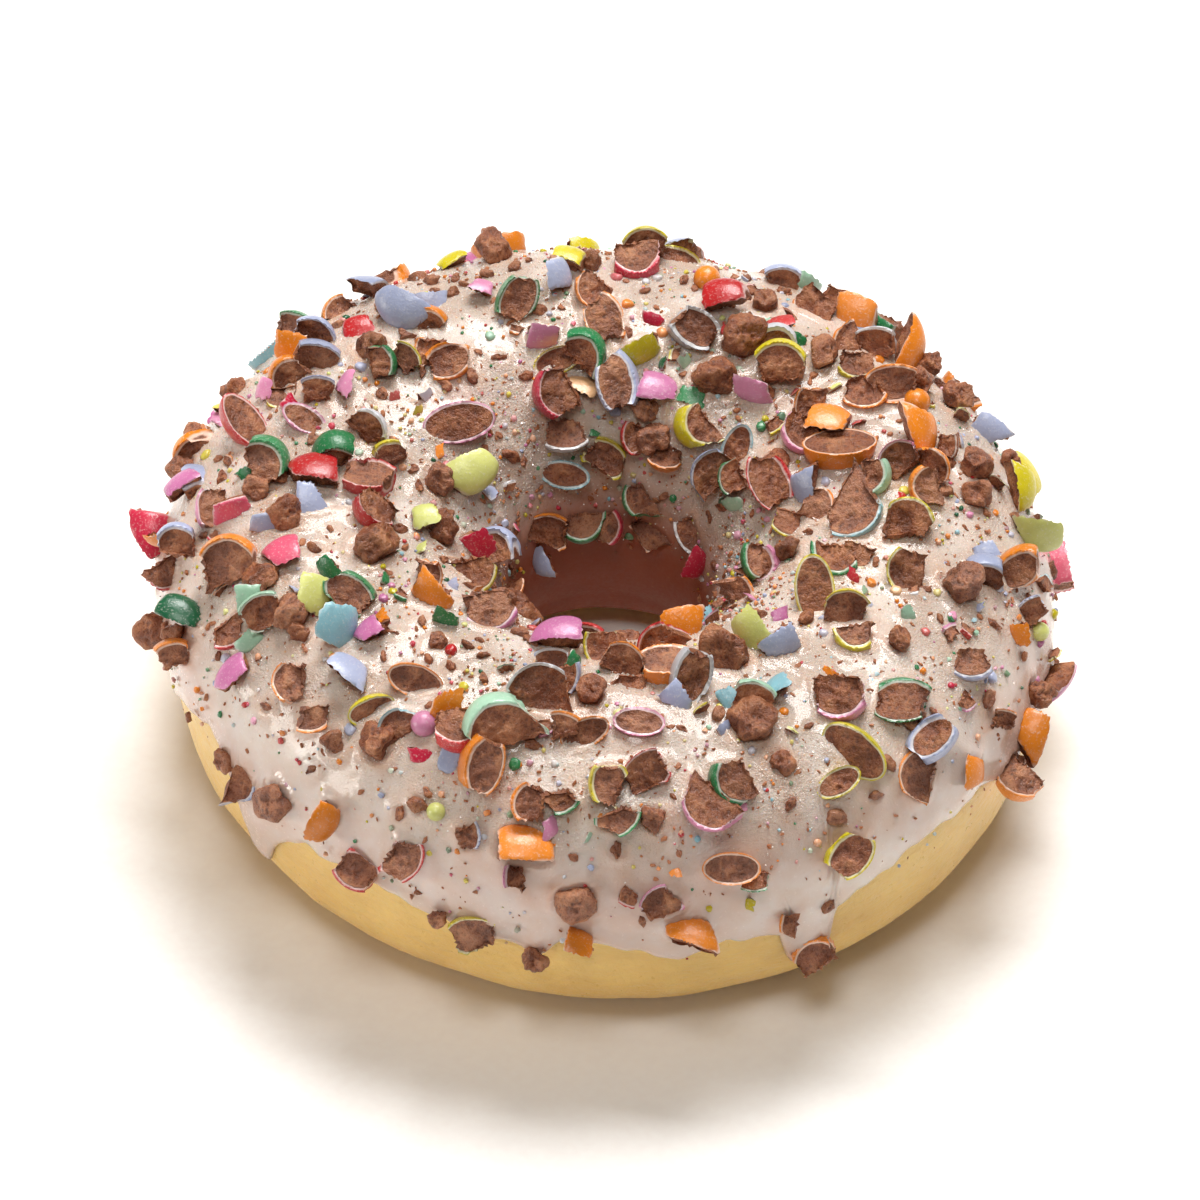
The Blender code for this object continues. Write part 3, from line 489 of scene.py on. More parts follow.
        ("chip", 180, 86, 4.4, -30, 90, 10), ("chip", 184, 72, 3.6, 20, 250, 20), ("dome", 221, 69, 4.8, -20, 90, 10),
        ("rind", 214.5, 6, 4.2, -10, 180, 10), ("rind", 261, 98, 3.4, -10, 200, 10),
        ("chip", 245, 58, 3.6, -65, 200, 10), ("rind", 274.5, 94, 4.0, -110, 90, 20),
        ("rind", 251, 33, 3.0, 0, 180, 10), ("chip", 285, 91, 3.8, 30, 250, 10), ("rind", 321, 41, 5.4, -60, 120, 15),
        ("rind", 334.5, 48, 4.2, -90, 90, 20), ("rind", 351.5, 33, 3.6, 120, 270, 10),
        ("chip", 356, 58, 3.0, 50, 120, 10), ("rind", 352.5, 57, 4.0, 90, 270, 25), ("dome", 23, 40, 4.0, -50, 30, 30),
        ("chip", 47, 54, 3.6, 0, 60, 20), ("rind", 62, 50, 4.2, 90, 270, 20), ("dome", 80, 46, 3.6, 0, 90, 40),
        ("dome", 99, 79, 3.8, -60, 240, 10), ("rind", 86, 124, 6.2, 200, 30, 10), ("chip", 124, 77, 3.8, 10),
        ("rind", 163, 158, 5.0, 90, 200, 20), ("dome", 314.5, 99, 5.0, 0, 60, 15), ("dome", 130, 181, 3.4, 90),
        ("rind", 43, 140, 5.4, 140, 320, 10), ("dome", 13, 113, 4.6, -50, 180, 10),
    ),
    "pale": (
        ("rind", 157, 97, 4.4, 40, 200, 20), ("rind", 254.5, 93, 6.8, 115, 290, 15),
        ("rind", 256, 106, 4.0, 85, 270, 15), ("rind", 290, 100, 5.6, 160, 320, 10),
        ("rind", 52, 87, 4.2, 80, 270, 10), ("rind", 42, 59, 4.8, 90, 230, 15), ("rind", 68.5, 96, 5.2, 65, 260, 10),
        ("rind", 108, 143, 4.8, -90, 90, 20), ("rind", 38, 165, 4.8, 210, 60, 10),
    ),
}

# Where the glaze ends outside and in the hole, and where it runs down further or stops short: azimuth, half width and
# drop, in degrees.
OUTER_EDGE = -5.0
INNER_EDGE = 186.0
DRIPS = (
    (215.5, 3.2, 24.0), (297.0, 3.6, 24.0), (280.0, 3.5, 7.0), (260.5, 3.5, 9.0), (20.0, 12.0, 4.0), (40.0, 8.0, 6.0),
    (100.0, 14.0, 5.0), (124.0, 6.0, 7.0), (160.0, 9.0, 6.0), (178.0, 7.0, 8.0), (205.0, 6.0, -12.0),
    (226.0, 5.0, -5.0), (318.0, 11.0, -11.0), (345.0, 5.0, -3.0),
)


def seen_direction(degrees):
    """A direction across the slope that the pieces are listed on: 0 is right, 90 back and up."""
    turn = math.radians(degrees)
    back_up = np.array([0.0, math.sin(SLOPE), math.cos(SLOPE)])
    return math.cos(turn) * np.array([1.0, 0.0, 0.0]) + math.sin(turn) * back_up


def out_of_slope():
    return np.array([0.0, -math.cos(SLOPE), math.sin(SLOPE)])


def frame_of(facing, along):
    """A rotation whose Z is facing and whose X is as near along as that allows."""
    z = facing / np.linalg.norm(facing)
    x = along - z * np.dot(along, z)
    x /= np.linalg.norm(x)
    return np.stack([x, np.cross(z, x), z], 1)


def tube_place(points):
    """Azimuth, direction round the tube and depth below the ring's surface of each point."""
    x, y = points[:, 0] - RING_AXIS_AT[0], points[:, 1] - RING_AXIS_AT[1]
    azimuth = np.arctan2(y, x)
    spare = (RING_RADIUS + TUBE_HALF_WIDTH) * (swell(azimuth, ROUND_SWELL) - 1.0)
    out = (np.hypot(x, y) - RING_RADIUS - spare / 2) / (1.0 + spare / 2 / TUBE_HALF_WIDTH)
    up = points[:, 2] / swell(azimuth, HEIGHT_SWELL) - TUBE_MIDDLE_HEIGHT
    rise = np.where(up > 0, TOP_RISE, BELLY_DROP)
    share = (np.abs(out / TUBE_HALF_WIDTH) ** TUBE_POWER + np.abs(up / rise) ** TUBE_POWER) ** (1 / TUBE_POWER)
    return azimuth, np.arctan2(up, out), (1.0 - share) * np.hypot(out, up) / np.maximum(share, 0.1)


def even_rays(count):
    """Directions spread evenly over a ball."""
    k = np.arange(count) + 0.5
    height = 1.0 - 2.0 * k / count
    turn = math.pi * (1.0 + math.sqrt(5.0)) * k
    flat = np.sqrt(1.0 - height**2)
    return np.stack([flat * np.cos(turn), flat * np.sin(turn), height], 1)


def turned(normal, axis, degrees):
    return np.array(Matrix.Rotation(math.radians(degrees), 3, Vector(axis)) @ Vector(normal))


def breaks_and_lentil(kind, size, draw):
    """The flat breaks of a piece, as (normal, distance), and its lentil, as (centre, axis, across, thick)."""
    s = size
    if kind == "cut":  # a half, its lens-shaped cut face along Z
        lentil = (0.18 * s * Z, turned(Y, X, draw.uniform(-8, 8)), s, max(0.56 * s, 2.6 * MM))
        return [(Z, 0.18 * s), (turned(-Z, X, draw.uniform(-20, 20)), 0.24 * s)], lentil
    if kind == "dome":  # the shell along Z, longest along X, the lentil's edge on a long side and breaks on the others
        toward = draw.choice((90, 270)) + draw.uniform(-25, 25)
        edge = turned(X, Z, toward)
        over, lean = np.cross(Z, edge), draw.uniform(2, 26)
        axis, edge = turned(Z, over, lean), turned(edge, over, lean)
        aside = max(LENTIL_ACROSS / 2 - 0.36 * s, 0.0)
        below = LENTIL_THICK / 2 * math.sqrt(1.0 - (2 * aside / LENTIL_ACROSS) ** 2) - 0.26 * s
        lentil = (-edge * aside - axis * below, axis, LENTIL_ACROSS, LENTIL_THICK)
        sides = []
        for away, reach in ((86, 0.48), (180, 0.33), (274, 0.46)):
            normal = turned(turned(X, Y, draw.uniform(-12, 18)), Z, toward + away + draw.uniform(-24, 24))
            sides.append((normal, s * reach * draw.uniform(0.86, 1.06)))
        return sides + [(-Z, 0.26 * s)], lentil
    if kind == "rind":  # a brown break along Z, with the shell on the side along X
        axis = turned(turned(X, Y, draw.uniform(-4, 30)), Z, draw.uniform(-12, 12))
        thick = LENTIL_THICK if draw.random() < 0.35 else 1.5 * s
        middle = draw.uniform(-0.04, 0.30) * s * Z  # where this is high, only the rim of the shell shows
        lentil = (middle - axis * (thick / 2 - 0.36 * s), axis, max(1.2 * s, 0.68 * LENTIL_ACROSS), thick)
        breaks = [
            (turned(Z, Y, draw.uniform(-10, 10)), 0.33 * s),
            (turned(-X, Z, draw.uniform(-25, 25)), 0.40 * s),
            (turned(Y, Z, draw.uniform(-22, 22)), 0.44 * s),
            (turned(-Y, Z, draw.uniform(-22, 22)), 0.44 * s),
            (-Z, 0.36 * s),
        ]
        return breaks, lentil
    if kind == "chip":  # a flake of shell with a little chocolate on its back
        axis = turned(Z, Y, draw.uniform(-10, 10))
        lentil = (-axis * (LENTIL_THICK / 2 - 0.14 * s), axis, LENTIL_ACROSS, LENTIL_THICK)
        turn = draw.uniform(0, 90)
        normals = [turned(X, Z, turn + 90 * k + draw.uniform(-20, 20)) for k in range(4)]
        return list(zip(normals, (0.32 * s, 0.48 * s, 0.32 * s, 0.48 * s))) + [(-Z, 0.12 * s)], lentil
    if kind == "ball":
        return [], (np.zeros(3), Z, s, s)
    # A lump of bare chocolate or a fleck of bare shell.
    turn, sides = draw.uniform(0, 72), []
    for k in range(5):
        normal = turned(turned(X, Y, draw.uniform(-40, 25)), Z, turn + 72 * k + draw.uniform(-20, 20))
        sides.append((normal, s * draw.uniform(0.34, 0.48)))
    sides.append((turned(Z, X, draw.uniform(-30, 30)), 0.34 * s))
    sides.append((turned(-Z, Y, draw.uniform(-15, 15)), 0.34 * s))
    return sides, (np.zeros(3), Z, 1.12 * s, s)


def squash_of(lentil):
    """The matrix that squashes a lentil to a ball of radius 1."""
    _, axis, across, thick = lentil
    return np.eye(3) / (across / 2) + np.outer(axis, axis) * (2 / thick - 2 / across)


def cast(directions, breaks, lentil, rounding=0):
    """How far the piece reaches along each direction from its middle, and which face it meets: 0 is the lentil's own.

    A power given as rounding wears the corners between the faces round: the lower, the rounder.
    """
    squash = squash_of(lentil)
    ray, start = directions @ squash, -squash @ lentil[0]
    b, c, a = ray @ start, start @ start - 1.0, (ray**2).sum(1)
    reach = (-b + np.sqrt(np.maximum(b * b - a * c, 0.0))) / a
    face = np.zeros(len(directions), int)
    rounded = reach ** -max(rounding, 1)
    for index, (normal, distance) in enumerate(breaks, 1):
        lean = directions @ normal
        to_break = np.where(lean > 1e-6, distance / np.maximum(lean, 1e-6), 1.0)
        face = np.where(to_break < reach, index, face)
        reach = np.minimum(reach, to_break)
        rounded += to_break ** -max(rounding, 1)
    return (rounded ** (-1 / rounding) if rounding else reach), face


def under_shell(points, lentil):
    """How deep each point lies under the lentil's own face."""
    squash = squash_of(lentil)
    inside = (points - lentil[0]) @ squash
    share = np.linalg.norm(inside, axis=1)
    slope = np.linalg.norm(inside @ squash, axis=1) / np.maximum(share, 1e-9)
    return (1.0 - share) / np.maximum(slope, 1e-9)


# A piece's corners are looked for along the faces and corners of a cube.
SOLID_RAYS, CRUMB_RAYS = even_rays(640), even_rays(60)
THREE = (-1, 0, 1)
SOLID_CORNERS = [(x, y, z) for x in THREE for y in THREE for z in THREE if abs(x) + abs(y) + abs(z) in (1, 3)]
SOLID_CORNERS = np.array(SOLID_CORNERS, float)


def push_out(placed):
    """Points lifted back to the depth that a piece may sink into the glaze, and clear of the table."""
    for _ in range(3):
        azimuth, tube, depth = tube_place(placed)
        most = np.minimum(DEEPEST, dough_inset(tube) - OVER_DOUGH)
        placed = placed + ring_normal(azimuth, tube) * np.maximum(depth - most, 0.0)[:, None]
    placed[:, 2] = np.maximum(placed[:, 2], OVER_TABLE)
    return placed


def settle(kind, breaks, lentil, turn_to, azimuth, around, seen, sink=None):
    """Where the piece's middle comes to rest on the glaze, and the middle of its corners there."""
    base, normal = ring_point(azimuth, around), ring_normal(azimuth, around)
    rays = SOLID_RAYS if sink is None else CRUMB_RAYS
    points = rays * cast(rays, breaks, lentil)[0][:, None]
    corners = points[np.unique((points @ SOLID_CORNERS.T).argmax(0))]
    sink = sink or max(SINK, SINK_SHARE[kind] * np.ptp(corners, axis=0).max())
    corners = corners @ turn_to.T
    height = -(corners @ normal).min() - sink
    lift = normal * height
    if seen:
        # The place was read where the piece hides the ring, so it stands out along the line of sight.
        slant = max(float(np.dot(normal, out_of_slope())), 0.5)
        sight = out_of_slope() / slant
        lift = height * (sight + normal * (1.0 - float(np.dot(sight, normal))))
    return base + lift, push_out(corners + base + lift).mean(0)


def glaze_edges(azimuth):
    """The directions round the tube where the solid glaze ends, outside and in the hole, in degrees."""
    turn = np.degrees(azimuth) % 360.0
    outer = OUTER_EDGE + 1.2 * np.sin(7 * azimuth) + 0.9 * np.cos(17 * azimuth)
    for centre, half_width, drop in DRIPS:
        away = np.abs((turn - centre + 180.0) % 360.0 - 180.0)
        outer = outer - drop * (1.0 - smooth_step(away, 0.35 * half_width, 1.5 * half_width))
    inner = INNER_EDGE + 3.0 * np.sin(4 * azimuth + 1.0) + 2.0 * np.cos(9 * azimuth)
    return outer, inner


def any_colour(draw):
    return draw.choices(list(SHADES), [often for often, _ in SHADES.values()])[0]


def listed_pieces():
    """(kind, colour, size, breaks, lentil, rotation, middle, corners' middle) of each listed piece, widest first."""
    rows = [(shade, *row) for shade, alike in LENTILS.items() for row in alike]
    for shade, kind, azimuth, around, size, turn, *leaning in sorted(rows, key=lambda row: -row[4]):
        draw = random.Random(f"{kind} {azimuth} {around}")
        lean_to, lean = leaning or (0, 0)
        lean = math.radians(lean)
        facing = math.cos(lean) * out_of_slope() + math.sin(lean) * seen_direction(lean_to)
        turn_to = frame_of(facing, seen_direction(turn))
        breaks, lentil = breaks_and_lentil(kind, size * MM, draw)
        middle, corners = settle(kind, breaks, lentil, turn_to, math.radians(azimuth), math.radians(around), seen=True)
        yield kind, shade, size * MM, breaks, lentil, turn_to, middle, corners


def spread_places(count, taken):
    """Places for the pieces that can't be seen from the front, largest first and no two too close."""
    draw = random.Random(21)
    places = []
    tries = 0
    while len(places) < count and tries < 20000:
        tries += 1
        size = (5.6 - 1.6 * len(places) / count) * MM
        azimuth, around = math.radians(draw.uniform(5, 175)), math.radians(draw.uniform(-4, 48))
        if draw.random() < 0.25:  # the front of the hole
            azimuth, around = math.radians(draw.uniform(190, 350)), math.radians(draw.uniform(140, 180))
        outer, _ = glaze_edges(np.array([azimuth]))
        degrees = math.degrees(around)
        if degrees < outer[0] + 5 or draw.random() > 0.35 + 0.65 * smooth_step(degrees, -5, 35):
            continue
        point = ring_point(azimuth, around)
        if all(np.linalg.norm(point - other) > 0.52 * (size + width) for other, width in taken):
            taken.append((point, size))
            kind = draw.choice(("rind", "rind", "dome", "lump", "cut"))
            places.append((kind, azimuth, around, size, draw.uniform(0, 360)))
    return places


def laid_flat(kind, azimuth, around, size, turn, draw, sink=None):
    """A piece that lies with its face along the glaze's own slope."""
    normal = ring_normal(azimuth, around)
    along = np.array(Matrix.Rotation(math.radians(turn), 3, Vector(normal)) @ Vector(normal).orthogonal())
    breaks, lentil = breaks_and_lentil(kind, size, draw)
    turn_to = frame_of(normal, along)
    middle, corners = settle(kind, breaks, lentil, turn_to, azimuth, around, seen=False, sink=sink)
    return breaks, lentil, turn_to, middle, corners


def crushed_pieces():
    """All the pieces of any size: the listed ones, those out of sight, and the crumbs between."""
    pieces, taken = [], []
    for kind, shade, size, breaks, lentil, turn_to, middle, corners in listed_pieces():
        pieces.append((kind, shade, size, breaks, lentil, turn_to, middle))
        if size > (SOLID_FROM - 0.01) * MM:
            taken.append((corners, size))
    shades = random.Random(5)
    for kind, azimuth, around, size, turn in spread_places(OUT_OF_SIGHT, taken):
        draw = random.Random(f"{kind} {azimuth:.4f} {around:.4f}")
        breaks, lentil, turn_to, middle, _ = laid_flat(kind, azimuth, around, size, turn, draw)
        shade = "brown" if kind == "lump" else any_colour(shades)
        while kind != "lump" and shade == "brown":
            shade = any_colour(shades)
        pieces.append((kind, shade, size, breaks, lentil, turn_to, middle))
    for kind, shade, azimuth, around, size, turn in crumb_places(pieces) + dust_places():
        draw = random.Random(f"{kind} {azimuth:.4f} {around:.4f}")
        sink = min(1.5 * SINK, (0.26 if size > DUST_BELOW else 0.12) * size)
        breaks, lentil, turn_to, middle, _ = laid_flat(kind, azimuth, around, size, turn, draw, sink)
        pieces.append((kind, shade, size, breaks, lentil, turn_to, middle))
    return pieces


def crumb_places(pieces):
    """Places for the small pieces and crumbs: many on the crown, few on the flanks, and none under a wide piece."""
    draw = random.Random(77)
    middles = np.array([piece[6] for piece in pieces])
    widths = np.array([piece[2] for piece in pieces])
    places = []
    while len(places) < CRUMBS:
        azimuth, around = draw.uniform(0, 360), draw.uniform(-8, 186)
        hidden = azimuth < 180 and around < 45 or azimuth > 185 and around > 140
        outer, inner = glaze_edges(np.array([math.radians(azimuth)]))
        flank = smooth_step(around, 8, 62) * smooth_step(-around, -182, -135)
        wanted = (0.24 + 0.76 * flank) * (1.0 - 0.55 * smooth_step(around, 100, 170))
        if not outer[0] + 3 < around < inner[0] - 3 or draw.random() > wanted:
            continue
        share = draw.random()
        size = (0.32 + 0.50 * share + (2.6 if hidden else 1.7) * share**7) * MM
        point = ring_point(math.radians(azimuth), math.radians(around))
        if (np.linalg.norm(middles - point, axis=1) < 0.40 * widths + 0.3 * size).any():
            continue
        shade = any_colour(draw)
        kind = "lump" if shade == "brown" else draw.choice(("rind", "dome", "dome")) if size > 1.4 * MM else "fleck"
        places.append((kind, shade, math.radians(azimuth), math.radians(around), size, draw.uniform(0, 360)))
        if size > 1.3 * MM:
            middles, widths = np.append(middles, [point], 0), np.append(widths, size)
    return places


def dust_places():
    """Places for the dust of shell and chocolate, dense in patches on the crown."""
    draw = random.Random(303)
    places = []
    while len(places) < DUST:
        azimuth, around = draw.uniform(0, 360), draw.uniform(2, 180)
        patch = lumps(ring_point(math.radians(azimuth), math.radians(around))[None], 6.0 * MM, 31)[0]
        crown = smooth_step(around, 14, 58) * smooth_step(-around, -182, -120)
        if draw.random() > (0.30 + 0.70 * crown) * (0.35 + 0.65 * smooth_step(patch, -0.3, 0.3)):
            continue
        shade = draw.choice(("brown", any_colour(draw), any_colour(draw)))
        while shade == "brown" and draw.random() < 0.5:
            shade = any_colour(draw)
        kind = "lump" if shade == "brown" else "fleck"
        size = (0.26 + 0.50 * draw.random() ** 2) * MM
        places.append((kind, shade, math.radians(azimuth), math.radians(around), size, draw.uniform(0, 360)))
    return places


ray_balls = {}


def ray_ball(count):
    """Directions over a ball with the triangles between them, closer together on the side that the piece shows."""
    if count not in ray_balls:
        directions = even_rays(count)
        made = bmesh.new()
        verts = [made.verts.new(point) for point in directions]
        bmesh.ops.convex_hull(made, input=verts)
        bmesh.ops.triangulate(made, faces=made.faces)
        bmesh.ops.recalc_face_normals(made, faces=made.faces)
        made.verts.index_update()
        faces = np.array([[vert.index for vert in face.verts] for face in made.faces])
        made.free()
        leaning = directions + (0.0, 0.0, 0.32)
        ray_balls[count] = leaning / np.linalg.norm(leaning, axis=1)[:, None], faces
    return ray_balls[count]


def piece_surface(kind, size, breaks, lentil, turn_to, middle):
    """A piece's points in place, the way out of the face each lies on, its depth under the shell, and triangles."""
    wanted = 2.5 * size**2 / (0.866 * FACET**2)
    count = next((c for c in POINT_COUNTS if c >= wanted), POINT_COUNTS[-1])
    directions, faces = ray_ball(count)
    reach, face = cast(directions, breaks, lentil, rounding=WORN.get(kind, 0))
    points = directions * reach[:, None]
    squash = squash_of(lentil)
    own = (points - lentil[0]) @ squash @ squash
    own /= np.linalg.norm(own, axis=1)[:, None]
    outward = np.where((face == 0)[:, None], own, np.array([own[0], *(n for n, _ in breaks)])[face])
    depth = np.maximum(under_shell(points, lentil), 0.0)
    broken = (face > 0).astype(float)
    if kind in ("lump", "fleck"):  # all chocolate, or all shell
        depth, broken = (np.full(len(points), value) for value in ((2.0 * MM, 1.0) if kind == "lump" else (0.0, 0.35)))
        outward = directions
    # A lump crumbles most, and a wide cut snaps clean.
    rough = 0.35 if kind == "cut" and size > 6.2 * MM else 1.2 if kind == "lump" else 0.9
    if kind == "dome":
        points = points * (1.0, 0.88, 1.0)
    elif kind == "lump" and size < 2.8 * MM:
        points = points * (1.25, 0.86, 1.0)
    return points @ turn_to.T + middle, outward @ turn_to.T, depth, broken * rough, faces


def crushed_mesh(name, pieces):
    """One mesh of many pieces, with rough breaks: the shell snaps clean and the chocolate behind it crumbles."""
    parts, first, tones, crumbs = [], 0, [], []
    draw = random.Random(name)
    for kind, _, size, *form in pieces:
        points, outward, depth, broken, faces = piece_surface(kind, size, *form)
        parts.append((points, outward, depth, broken * min(1.0, size / (3.0 * MM)), faces + first))
        tones.append(np.full(len(points), draw.uniform(-1.0, 1.0)))
        crumbs.append(np.full(len(points), smooth_step(-size, -1.8 * MM, -0.8 * MM)))
        first += len(points)
    points, outward, depth, broken, faces = (np.concatenate(column) for column in zip(*parts))
    chocolate = smooth_step(depth, 0.26 * MM, 0.62 * MM)
    crumble = 0.16 + 0.20 * lumps(points, 1.4 * MM, 11) + 0.24 * np.abs(lumps(points, 0.75 * MM, 12))
    crumble += 0.07 * lumps(points, 0.4 * MM, 13)
    bitten = 0.26 * (1.0 + lumps(points, 2.3 * MM, 14)) + 0.07 * lumps(points, 0.8 * MM, 16)
    back = broken * (bitten + chocolate * crumble) * MM
    points = push_out(points - outward * back[:, None])
    depth = depth + 0.06 * MM * lumps(points, 0.7 * MM, 15) * (depth > 0.02 * MM)
    # How deep each point was pushed back. The finish uses it to paint shade in the hollows and a highlight on the
    # ridges.
    hollow_shading = smooth_step(crumble + 0.4 * bitten, 0.14, 0.52)
    tone, crumb = np.concatenate(tones), np.concatenate(crumbs)
    marks = (("under_shell", depth / MM), ("tone", tone), ("crumb", crumb), ("hollow_shading", hollow_shading))
    piece = mesh_piece(name, points, faces, marks)
    piece.data.set_sharp_from_angle(angle=math.radians(62))
    return piece


def broken_lentil_group():
    """Colours of a broken lentil by depth under its face: a dyed skin, its paler shell, and chocolate that crumbles."""
    tints = ("Dye", "Undercoat", "Chocolate")
    ins = [(tint, "Color", (0.5, 0.5, 0.5, 1.0)) for tint in tints]
    outs = (("Colour", "Color"), ("Roughness", "Float"), ("Relief", "Float"))
    tree, given, out = new_group("Broken lentil", ins, outs)
    dye, undercoat, chocolate = (given.outputs[tint] for tint in tints)
    grain = placed_group(tree, FOOD_GRAIN, Clouds_per_metre=620.0, Grain_per_metre=4200.0, Pits_per_metre=1700.0)
    clouds, fine, pits = (grain.outputs[scale] for scale in ("Clouds", "Grain", "Pits"))
    depth, tone, crumb, hollow_shading = (mark_of(tree, name) for name in ("under_shell", "tone", "crumb", "hollow_shading"))
    wavering = plus(tree, depth, span(tree, clouds, 0.3, 0.7, -0.05, 0.05))
    broken = span(tree, wavering, 0.26, 0.33)
    # The skin is mottled and dusted, some crumbs are veiled with sugar, and the shell is paler inside.
    skin = mix(tree, span(tree, clouds, 0.35, 0.65, 0.0, 0.14), dye, (0.02, 0.01, 0.01, 1.0))
    skin = mix(tree, span(tree, fine, 0.56, 0.70, 0.0, 0.38), skin, (0.86, 0.82, 0.76, 1.0))
    skin = mix(tree, times(tree, crumb, span(tree, tone, -0.4, 0.9, 0.0, 0.5)), skin, colour(222, 204, 190))
    shell = mix(tree, span(tree, wavering, 0.06, 0.18, 0.0, 0.60), skin, undercoat)
    # The chocolate is paler on its grain, with a painted highlight on its ridges and painted shade in its pits and
    # hollows, and smooth in patches.
    brown = mix(tree, span(tree, fine, 0.40, 0.68), chocolate, colour(192, 124, 80))
    # Painted shade: darker where the bump's pits sink in.
    brown = mix(tree, span(tree, pits, 0.12, 0.50, 0.80, 0.0), brown, colour(70, 34, 20))
    # Painted highlight on the ridges and painted shade in the hollows, set by how deep each point was pushed back.
    brown = mix(tree, span(tree, hollow_shading, 0.0, 0.45, 0.50, 0.0), brown, colour(204, 142, 98))
    brown = mix(tree, span(tree, hollow_shading, 0.5, 1.0, 0.0, 0.60), brown, colour(88, 42, 24))
    brown = mix(tree, span(tree, clouds, 0.45, 0.62, 0.45, 0.0), brown, colour(124, 64, 38))
    brown = mix(tree, times(tree, crumb, 0.6), brown, colour(196, 122, 76))
    # No two pieces are quite as bright as each other.
    whole = mix(tree, broken, shell, brown)
    whole = mix(tree, span(tree, tone, -1.0, 0.0, 0.25, 0.0), whole, (0.02, 0.01, 0.006, 1.0))
    whole = mix(tree, span(tree, tone, 0.0, 1.0, 0.0, 0.04), whole, (0.95, 0.86, 0.74, 1.0))
    worn = span(tree, fine, 0.35, 0.65, 0.20, 0.58)
    gloss = plus(tree, times(tree, worn, broken), span(tree, broken, 0.0, 1.0, 0.28, 0.0))
    rough = plus(tree, times(tree, fine, 1.3), times(tree, pits, 0.8))
    relief = times(tree, rough, span(tree, broken, 0.0, 1.0, 0.16, 1.0))
    set_inputs(tree, out, {"Colour": whole, "Roughness": gloss, "Relief": relief})
    return tree


BROKEN_LENTIL = broken_lentil_group()


def lentil_finish(name, dye):
    """Sugar shell polished to a satin gloss, with broken faces of another finish."""
    material, tree, shader = new_finish(name)
    food = placed_group(tree, BROKEN_LENTIL, Dye=dye, Undercoat=colour(236, 226, 218), Chocolate=colour(146, 82, 50))
    look = {
        "Base Color": food.outputs["Colour"],
        "Roughness": food.outputs["Roughness"],
        "Normal": bumps(tree, food.outputs["Relief"], 0.9, 0.00018),
        "Specular IOR Level": 0.6,
    }
    set_inputs(tree, shader, look)
    return material


crushed = crushed_pieces()
for shade, (_, dye) in SHADES.items():
    title = "chocolate_bits" if shade == "brown" else f"lentil_bits_{shade}"
    alike = crushed_mesh(title, [piece for piece in crushed if piece[1] == shade])
    alike.data.materials.append(lentil_finish(title.replace("_", " ").capitalize(), colour(*dye)))
    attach(alike, "root")
    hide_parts("icing")


# The glaze: white sugar icing poured over the ring, which ran down the sides and set with a soft round lip.
# It climbs a little up each piece that was strewn on it, and its crown is rough with crumbs and sugar dust.
# Where it ends as seen from the front: azimuth, and direction round the tube, in degrees.
EDGE_IN_SIGHT = (
    (196, -1), (203, 7), (208, 5), (210, -3), (212, -14), (213.3, -26), (215, -28.5), (216.6, -26), (217.8, -18),
    (219.5, -12), (221.5, -8), (225, -1), (230, -3), (233, 0), (240, -2), (250, -5), (256, -6), (261, -9), (264, -3),
    (269, -2), (273, -5), (279.5, -10), (286, -4), (291, -6), (293, -8), (294.5, -22), (297, -27), (299.5, -24),
    (300.8, -5), (304, 0), (310, 2), (313, 6), (321, 5), (326, 6), (331, 2), (335, -2), (345, -2),
)
GLAZE_COLUMNS = 580
GLAZE_STEP = 0.44 * MM  # between its rows, which are closer together at the lips
LIP_ROWS = (0.0, 0.05, 0.15, 0.3, 0.5, 0.8)  # mm from a lip
UNDER_ROWS = (0.86, 0.72, 0.58, 0.44, 0.30, 0.14)  # of the way back, under the glaze
GLAZE_ACROSS = 56.7 * MM  # from lip to lip, over the crown
LIP = 1.2 * MM  # how far in from the lip the glaze is at full thickness
THIN_GLAZE = 0.975 * MM  # where the dough swells out to meet it, and in the hole
THIN_IN_HOLE = 0.5 * MM
INTO_DOUGH = 0.02 * MM
RAN_DOWN = 49.0  # degrees that it ran on down the far wall of the hole
CLIMB = 0.5 * MM  # how far it climbs up a wide piece


def fine_glaze_edges(azimuth):
    """The solid's edges, with the edge that shows in front as it was read, and a small waver."""
    outer, inner = glaze_edges(azimuth)
    turn = np.degrees(azimuth) % 360.0
    seen = np.interp(turn, [a for a, _ in EDGE_IN_SIGHT], [t for _, t in EDGE_IN_SIGHT])
    share = smooth_step(turn, 190.0, 197.0) * smooth_step(-turn, -352.0, -344.0)
    outer = outer + (seen - outer) * share
    # In the far wall of the hole it ran on down towards the table.
    inner = inner + RAN_DOWN * smooth_step(turn, 5.0, 40.0) * smooth_step(-turn, -175.0, -140.0)
    waver = 0.5 * np.sin(41 * azimuth) + 0.35 * np.sin(67 * azimuth + 1.0) + 0.3 * np.sin(97 * azimuth + 2.0)
    return outer + waver, inner + 1.5 * waver


def glaze_places():
    """Azimuth, direction round the tube, and distance from the nearer lip, row by row."""
    steps = [step * MM for step in LIP_ROWS]
    middle = np.arange(1.15 * MM, GLAZE_ACROSS - 1.1 * MM, GLAZE_STEP)
    along = np.array(steps + list(middle) + [GLAZE_ACROSS - s for s in reversed(steps)])
    azimuth, along = np.meshgrid(columns_round(GLAZE_COLUMNS), along)
    outer, inner = fine_glaze_edges(azimuth)
    around = np.radians(outer + (inner - outer) * along / GLAZE_ACROSS)
    return azimuth, around, np.minimum(along, GLAZE_ACROSS - along)


